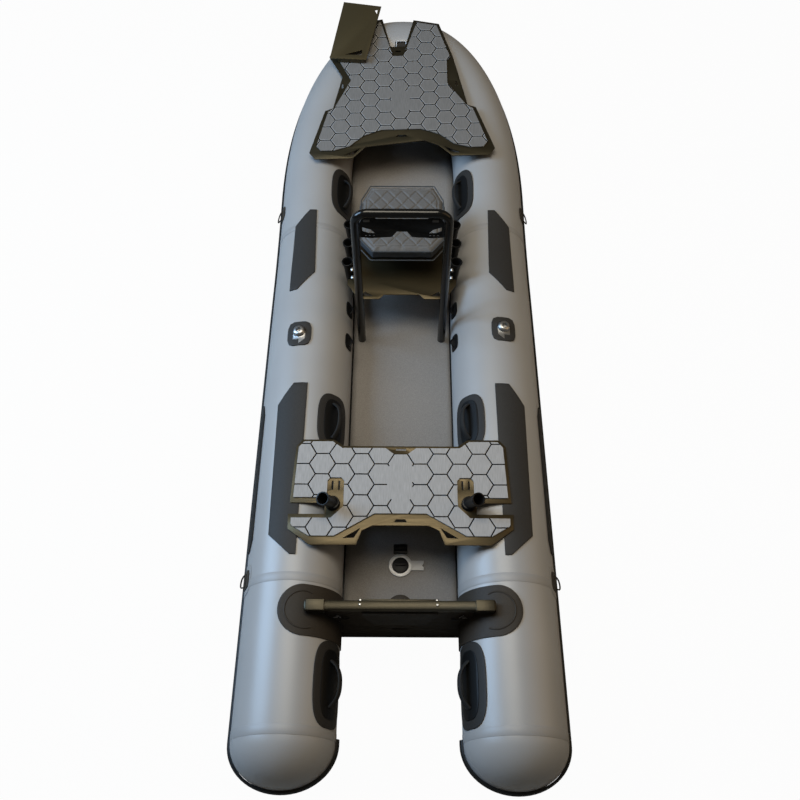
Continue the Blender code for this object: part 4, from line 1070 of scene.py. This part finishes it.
def make_rest():
    """The parts whose modelled shape is already right."""
    finishes = (
        ("transom_board", PVC_DARK, "pvc_dark", 0.002),
        ("transom_bar", BAR_OLIVE, "bronze_plate", 0.0008),
        ("transom_motor_pad", PAD_MESH, "moulded_black", 0.0008),
        ("transom_front_plate", BRONZE, "bronze_plate", 0.0006),
        ("floor_valve_ring", CAST_METAL, "chrome", 0.0006),
        ("floor_valve_cap", RUBBER, "rubber_black", 0.0006),
        ("floor_valve_latch", MOULDED, "moulded_black", 0.0006),
    )
    for node, material, slot, width in finishes:
        dressed(node, "finished_", material, slot, width)
    for label, _ in SIDES:
        for node in ("d_ring_front_", "d_ring_rear_"):
            dressed(node + label, "finished_", PVC_DARK, "pvc_dark", 0.0003)
        for node in ("tie_loop_fore_", "tie_loop_aft_"):
            dressed(node + label, "finished_", RUBBER, "rubber_black", 0.0003)
        make_rowlock(label)
    for node, body in (("seat_swivel_base", "hull"), ("seat_swivel_head", "seat")):
        dressed(node, "finished_", MOULDED, "moulded_black", 0.0006, body)


EDGE_START, EDGE_STEP, EDGE_STATIONS = 0.02, 0.045, 40
EDGE_INNER, EDGE_OUTER = 0.010, -0.002
EDGE_TOP = 0.0014


def make_floor_edge_shade():
    """A black strip of painted shade in the gap where the floor's edge meets each side tube."""
    low, high = FLOOR_TOP + FLOOR_CLEARANCE, FLOOR_TOP + EDGE_TOP
    section = ((EDGE_INNER, low), (EDGE_INNER, high), (EDGE_OUTER, high), (EDGE_OUTER, low))
    rows = []
    for _, side in SIDES:
        rings = []
        for k in range(EDGE_STATIONS):
            y = FLOOR_AFT_Y + EDGE_START + k * EDGE_STEP
            centre, radius = tube_centre(y, side), hull_radius(y)
            edge = abs(centre.x) - math.sqrt(radius**2 - (centre.z - FLOOR_TOP) ** 2)
            rings.append([(side * (edge - s), y, z) for s, z in section])
        rows.append(loft(rings))
    # Black rubber strips standing for the shade in the gap: painted shade.
    piece("floor_edge_painted_shade", joined(*rows), RUBBER, slot="rubber_black")


WELT_REACH = 0.062
WELT_STEPS = 24
WELT_FIRST, WELT_SWING = -25, 230
WELT_RADIUS, WELT_LIFT = 0.0030, 0.0034
# Middle, half length, and in degrees the angle from the tube's crown and the half angle
RING_PATCH = (-1.041, 0.055, 74.0, 19.0)


def make_welts():
    """Raised welts inside the round end of each transom wrap, and grey patches under the stern rings."""
    for label, side in SIDES:
        middle = WRAP_OUTER_ANGLE - WRAP_HALF_ANGLE
        line = []
        for k in range(WELT_STEPS + 1):
            turned = math.radians(WELT_FIRST + WELT_SWING * k / WELT_STEPS)
            angle = middle + math.degrees(WELT_REACH * math.sin(turned) / TUBE_R_STERN)
            line.append(tube_point(WRAP_MIDDLE_Y + WELT_REACH * math.cos(turned), side, angle, WELT_LIFT))
        piece("transom_wrap_welt_" + label, sweep(line, WELT_RADIUS), PVC_DARK, slot="pvc_dark", angle=70)
        patch = wrap_sheet(side, rounded(*RING_PATCH), thickness=0.0010, lift=0.0004)
        piece("stern_ring_patch_" + label, patch, PVC_TAPE, slot="pvc_grey", angle=60)


KNOB_X = 0.200
KNOBS_YZ = ((0.206, 0.385), (0.199, 0.345))
# (radius, height) from the end to the rack
KNOB_PROFILE = ((0, 0.012), (0.0050, 0.012), (0.0068, 0.009), (0.0068, 0), (0, 0))
TAB_SIZE = (0.022, 0.002, 0.012)
TABS_X, TAB_Y, TAB_Z = (-0.124, 0.117), 0.0418, 0.842


def make_seat_details():
    """Clamp knobs on the rod racks and tabs on the back panel."""
    lying = Matrix.Rotation(math.radians(90), 4, "X")
    knobs = []
    for _, side in SIDES:
        for y, z in KNOBS_YZ:
            knobs.append(moved(lathe(KNOB_PROFILE), at(side * KNOB_X, y, z) @ lying))
    piece("rod_rack_clamp_knobs", joined(*knobs), STEEL, slot="chrome")
    tabs = [box(TAB_SIZE, (x, TAB_Y, TAB_Z), 0.0006) for x in TABS_X]
    piece("back_panel_tabs", joined(*tabs), VINYL, slot="seat_vinyl")


TOP_STRIP_SIZE = (0.262, 0.008, 0.006)
TOP_STRIP_CENTRE = (-0.004, -1.1395, 0.3250)
BOLTS_X = (-0.130, 0.121)
# (y, height) of the bolts on the strip and on the cross bar
BOLTS_YZ = ((-1.1395, 0.3278), (-1.164, 0.3590))
BOLT_RADIUS, BOLT_HEIGHT = 0.0042, 0.0022
# (share of the radius, share of the height) of a domed button head with a socket
BOLT_PROFILE = ((0.0, 0.55), (0.45, 0.55), (0.5, 1.0), (0.78, 0.9), (1.0, 0.3), (1.0, 0.0), (0.0, 0.0))
TIE_RING = (0.207, -1.1835, 0.2935)
TIE_RING_HALF_WIDTH, TIE_RING_UP, TIE_RING_DOWN = 0.012, 0.012, 0.008
TIE_RING_WIRE = 0.0018
CORD_STEPS = 12
CORD_RADIUS = 0.0026
CORD_INBOARD, CORD_AFT, CORD_DROP = 0.004, 0.0015, 0.006
CORD_RUN, CORD_SAG = 0.034, 0.016


def make_transom_details():
    """The transom's thin top strip, bolts, tie rings and short cords."""
    strip = box(TOP_STRIP_SIZE, TOP_STRIP_CENTRE, 0.0010)
    piece("transom_top_strip", strip, BAR_OLIVE, slot="bronze_plate")
    profile = [(BOLT_RADIUS * r, BOLT_HEIGHT * z) for r, z in BOLT_PROFILE]
    bolts = [moved(lathe(profile, segments=20), at(x, y, z)) for x in BOLTS_X for y, z in BOLTS_YZ]
    piece("transom_bolts", joined(*bolts), STEEL, slot="chrome")
    rings, cords = [], []
    for side in (PORT, STARBOARD):
        x, y, z = TIE_RING
        x *= side
        half = side * TIE_RING_HALF_WIDTH
        top, bottom = z + TIE_RING_UP, z - TIE_RING_DOWN
        corners = [(x, y, top), (x - half, y, bottom), (x + half, y, bottom)]
        rings.append(sweep(corners, TIE_RING_WIRE, ellipse(8), closed=True, up=ALONG_HULL))
        line = []
        for k in range(CORD_STEPS + 1):
            t = k / CORD_STEPS
            inboard = CORD_INBOARD + CORD_RUN * t
            drop = CORD_DROP + CORD_SAG * math.sin(math.pi * t * 0.8)
            line.append((x - side * inboard, y - CORD_AFT, z - drop))
        cords.append(sweep(line, CORD_RADIUS, ellipse(8), up=ALONG_HULL))
    piece("transom_tie_rings", joined(*rings), STEEL, slot="chrome")
    piece("transom_tie_cords", joined(*cords), WEBBING, slot="rubber_black")


NOSE_CENTRE = (NOSE_Y - TUBE_R_NOSE, TUBE_R_NOSE + BOW_RISE)
TOW_X = -0.0085
TOW_RING_HALF_WIDTH = 0.02322
TOW_RING_ANGLE = 41.5
TOW_RING_HALF_ANGLE = 8.0
TOW_RING_WIRE = 0.0026
TOW_RING_STEPS = 40
TOW_RING_ROUNDNESS = 0.55
TOW_RING_LIFT, TOW_RING_TILT = 0.0085, 0.006
# Half width, first angle and swing in degrees, steps, and the lifts of under and upper side
TOW_PATCH = (0.030, 34.0, 26.0, 8, 0.0004, 0.0034)
TOW_FOOT = (0.020, 47.0, 7.0, 6, 0.003, 0.0105)


def nose_point(x, angle, lift):
    """A point on the after side of the bow tube at the nose, at an angle in degrees from its crown."""
    turned = math.radians(angle)
    reach = TUBE_R_NOSE + lift
    return Vector((x, NOSE_CENTRE[0] - reach * math.sin(turned), NOSE_CENTRE[1] + reach * math.cos(turned)))


def nose_block(half_width, first, swing, steps, low, high):
    """A curved block on the nose's after side, about the towing ring's place."""
    angles = [first + swing * n / steps for n in range(steps + 1)]
    rings = []
    for k in range(9):
        x = TOW_X + half_width * (k / 4 - 1)
        under = [nose_point(x, a, low) for a in angles]
        over = [nose_point(x, a, high) for a in reversed(angles)]
        rings.append(under + over)
    return loft(rings)


def make_towing_ring():
    """A bonded patch on the nose with a moulded foot and a metal ring that lies forward over it."""
    ring = []
    for k in range(TOW_RING_STEPS):
        turned = 2 * math.pi * k / TOW_RING_STEPS
        x = signed_power(math.cos(turned), TOW_RING_ROUNDNESS)
        s = signed_power(math.sin(turned), TOW_RING_ROUNDNESS)
        lift = TOW_RING_LIFT + TOW_RING_TILT * (1 - s) / 2
        angle = TOW_RING_ANGLE + TOW_RING_HALF_ANGLE * s
        ring.append(nose_point(TOW_X + TOW_RING_HALF_WIDTH * x, angle, lift))
    wire = sweep(ring, TOW_RING_WIRE, closed=True)
    mesh = layered(nose_block(*TOW_PATCH), nose_block(*TOW_FOOT), wire)
    skins = [RUBBER, MOULDED, CAST_METAL]
    piece("bonded_bow_towing_ring", mesh, skins, ("bow_towing_ring",), slot="pvc_dark")


# Stage


# Place, target, size, power and colour of each light
LIGHTS = {
    "daylight": ((-3.8, 0.25, 3.0), (0, 0.0, 0.2), (2.0, 2.8), 290.0, (0.45, 0.69, 1.0)),
    "top": ((-0.3, 0.1, 3.9), (0, 0.0, 0.2), (1.6, 2.4), 108.0, (1.0, 0.92, 0.77)),
    "warm_side": ((3.6, -0.4, 2.6), (0, -0.2, 0.2), (1.8, 4.0), 26.0, (1.0, 0.66, 0.32)),
}
WHITE = (1, 1, 1, 1)
SKY_COLOUR, SKY_STRENGTH = (1.0, 0.93, 0.80, 1.0), 0.13
FLOOR_COLOUR = (0.30, 0.29, 0.27)
FLOOR_GLOW_SHARE = 0.97
FLOOR_SIZE, FLOOR_MIDDLE = (16.0, 16.0, 0.02), (0, 0, -0.011)


def make_lights():
    for name, (place, target, size, power, colour) in LIGHTS.items():
        data = bpy.data.lights.new(name, "AREA")
        data.shape = "RECTANGLE"
        data.size, data.size_y = size
        data.energy = power
        data.color = colour
        light = placed(name, data)
        light.location = place
        light.rotation_euler = (Vector(target) - Vector(place)).to_track_quat("-Z", "Y").to_euler()


PICTURE_WIDTH = 800
FOCAL_PIXELS = 860.0
SENSOR = 36.0
CAMERA_HEIGHT = 3.08
CAMERA_Y = -2.0279
CAMERA_DOWN = 59.0
HULL_DRIFT = 0.0055
HULL_DRIFT_START = -1.2


def make_camera():
    data = bpy.data.cameras.new("camera")
    data.sensor_width = SENSOR
    data.lens = SENSOR * FOCAL_PIXELS / PICTURE_WIDTH
    data.clip_end = 60.0
    camera = placed("camera", data)
    x = -HULL_DRIFT * (CAMERA_Y - HULL_DRIFT_START)
    camera.location = (x, CAMERA_Y + SHIFT.y, CAMERA_HEIGHT)
    camera.rotation_euler = (math.radians(90 - CAMERA_DOWN), 0.0, math.atan(HULL_DRIFT))
    bpy.context.scene.camera = camera


def show_camera(tree, lit, white, share, target):
    """Shows the camera a share of plain white in place of the lit shader."""
    nodes, links = tree.nodes, tree.links
    ray = nodes.new("ShaderNodeLightPath")
    part = nodes.new("ShaderNodeMath")
    part.operation = "MULTIPLY"
    fill(part, {1: share})
    mix = nodes.new("ShaderNodeMixShader")
    fill(white, {"Color": WHITE, "Strength": 1.0})
    links.new(ray.outputs["Is Camera Ray"], part.inputs[0])
    links.new(part.outputs["Value"], mix.inputs["Fac"])
    links.new(lit.outputs[0], mix.inputs[1])
    links.new(white.outputs[0], mix.inputs[2])
    links.new(mix.outputs["Shader"], target.inputs["Surface"])


def make_world():
    world = bpy.data.worlds.new("studio")
    world.use_nodes = True
    bpy.context.scene.world = world
    nodes = world.node_tree.nodes
    sky = nodes["Background"]
    fill(sky, {"Color": SKY_COLOUR, "Strength": SKY_STRENGTH})
    white = nodes.new("ShaderNodeBackground")
    show_camera(world.node_tree, sky, white, 1.0, nodes["World Output"])


def make_studio_floor():
    mesh = box(FLOOR_SIZE, FLOOR_MIDDLE)
    material = principled("studio_floor", FLOOR_COLOUR, 0.9, specular=0.0)
    nodes, _, shader = nodes_of(material)
    white = nodes.new("ShaderNodeEmission")
    show_camera(material.node_tree, shader, white, FLOOR_GLOW_SHARE, nodes["Material Output"])
    mesh.materials.append(material)
    floor = placed("studio_floor", mesh)


bpy.context.scene.view_settings.view_transform = "Standard"
make_camera()
make_world()
make_studio_floor()
make_lights()
make_tubes()
make_seams()
make_handles()
make_patches()
make_strakes()
make_plates()
make_pads()
make_floor()
make_seat_frame()
make_cushion()
make_piping()
make_rod_racks()
make_rest()
make_drain()
make_towing_ring()
make_floor_edge_shade()
make_welts()
make_seat_details()
make_transom_details()
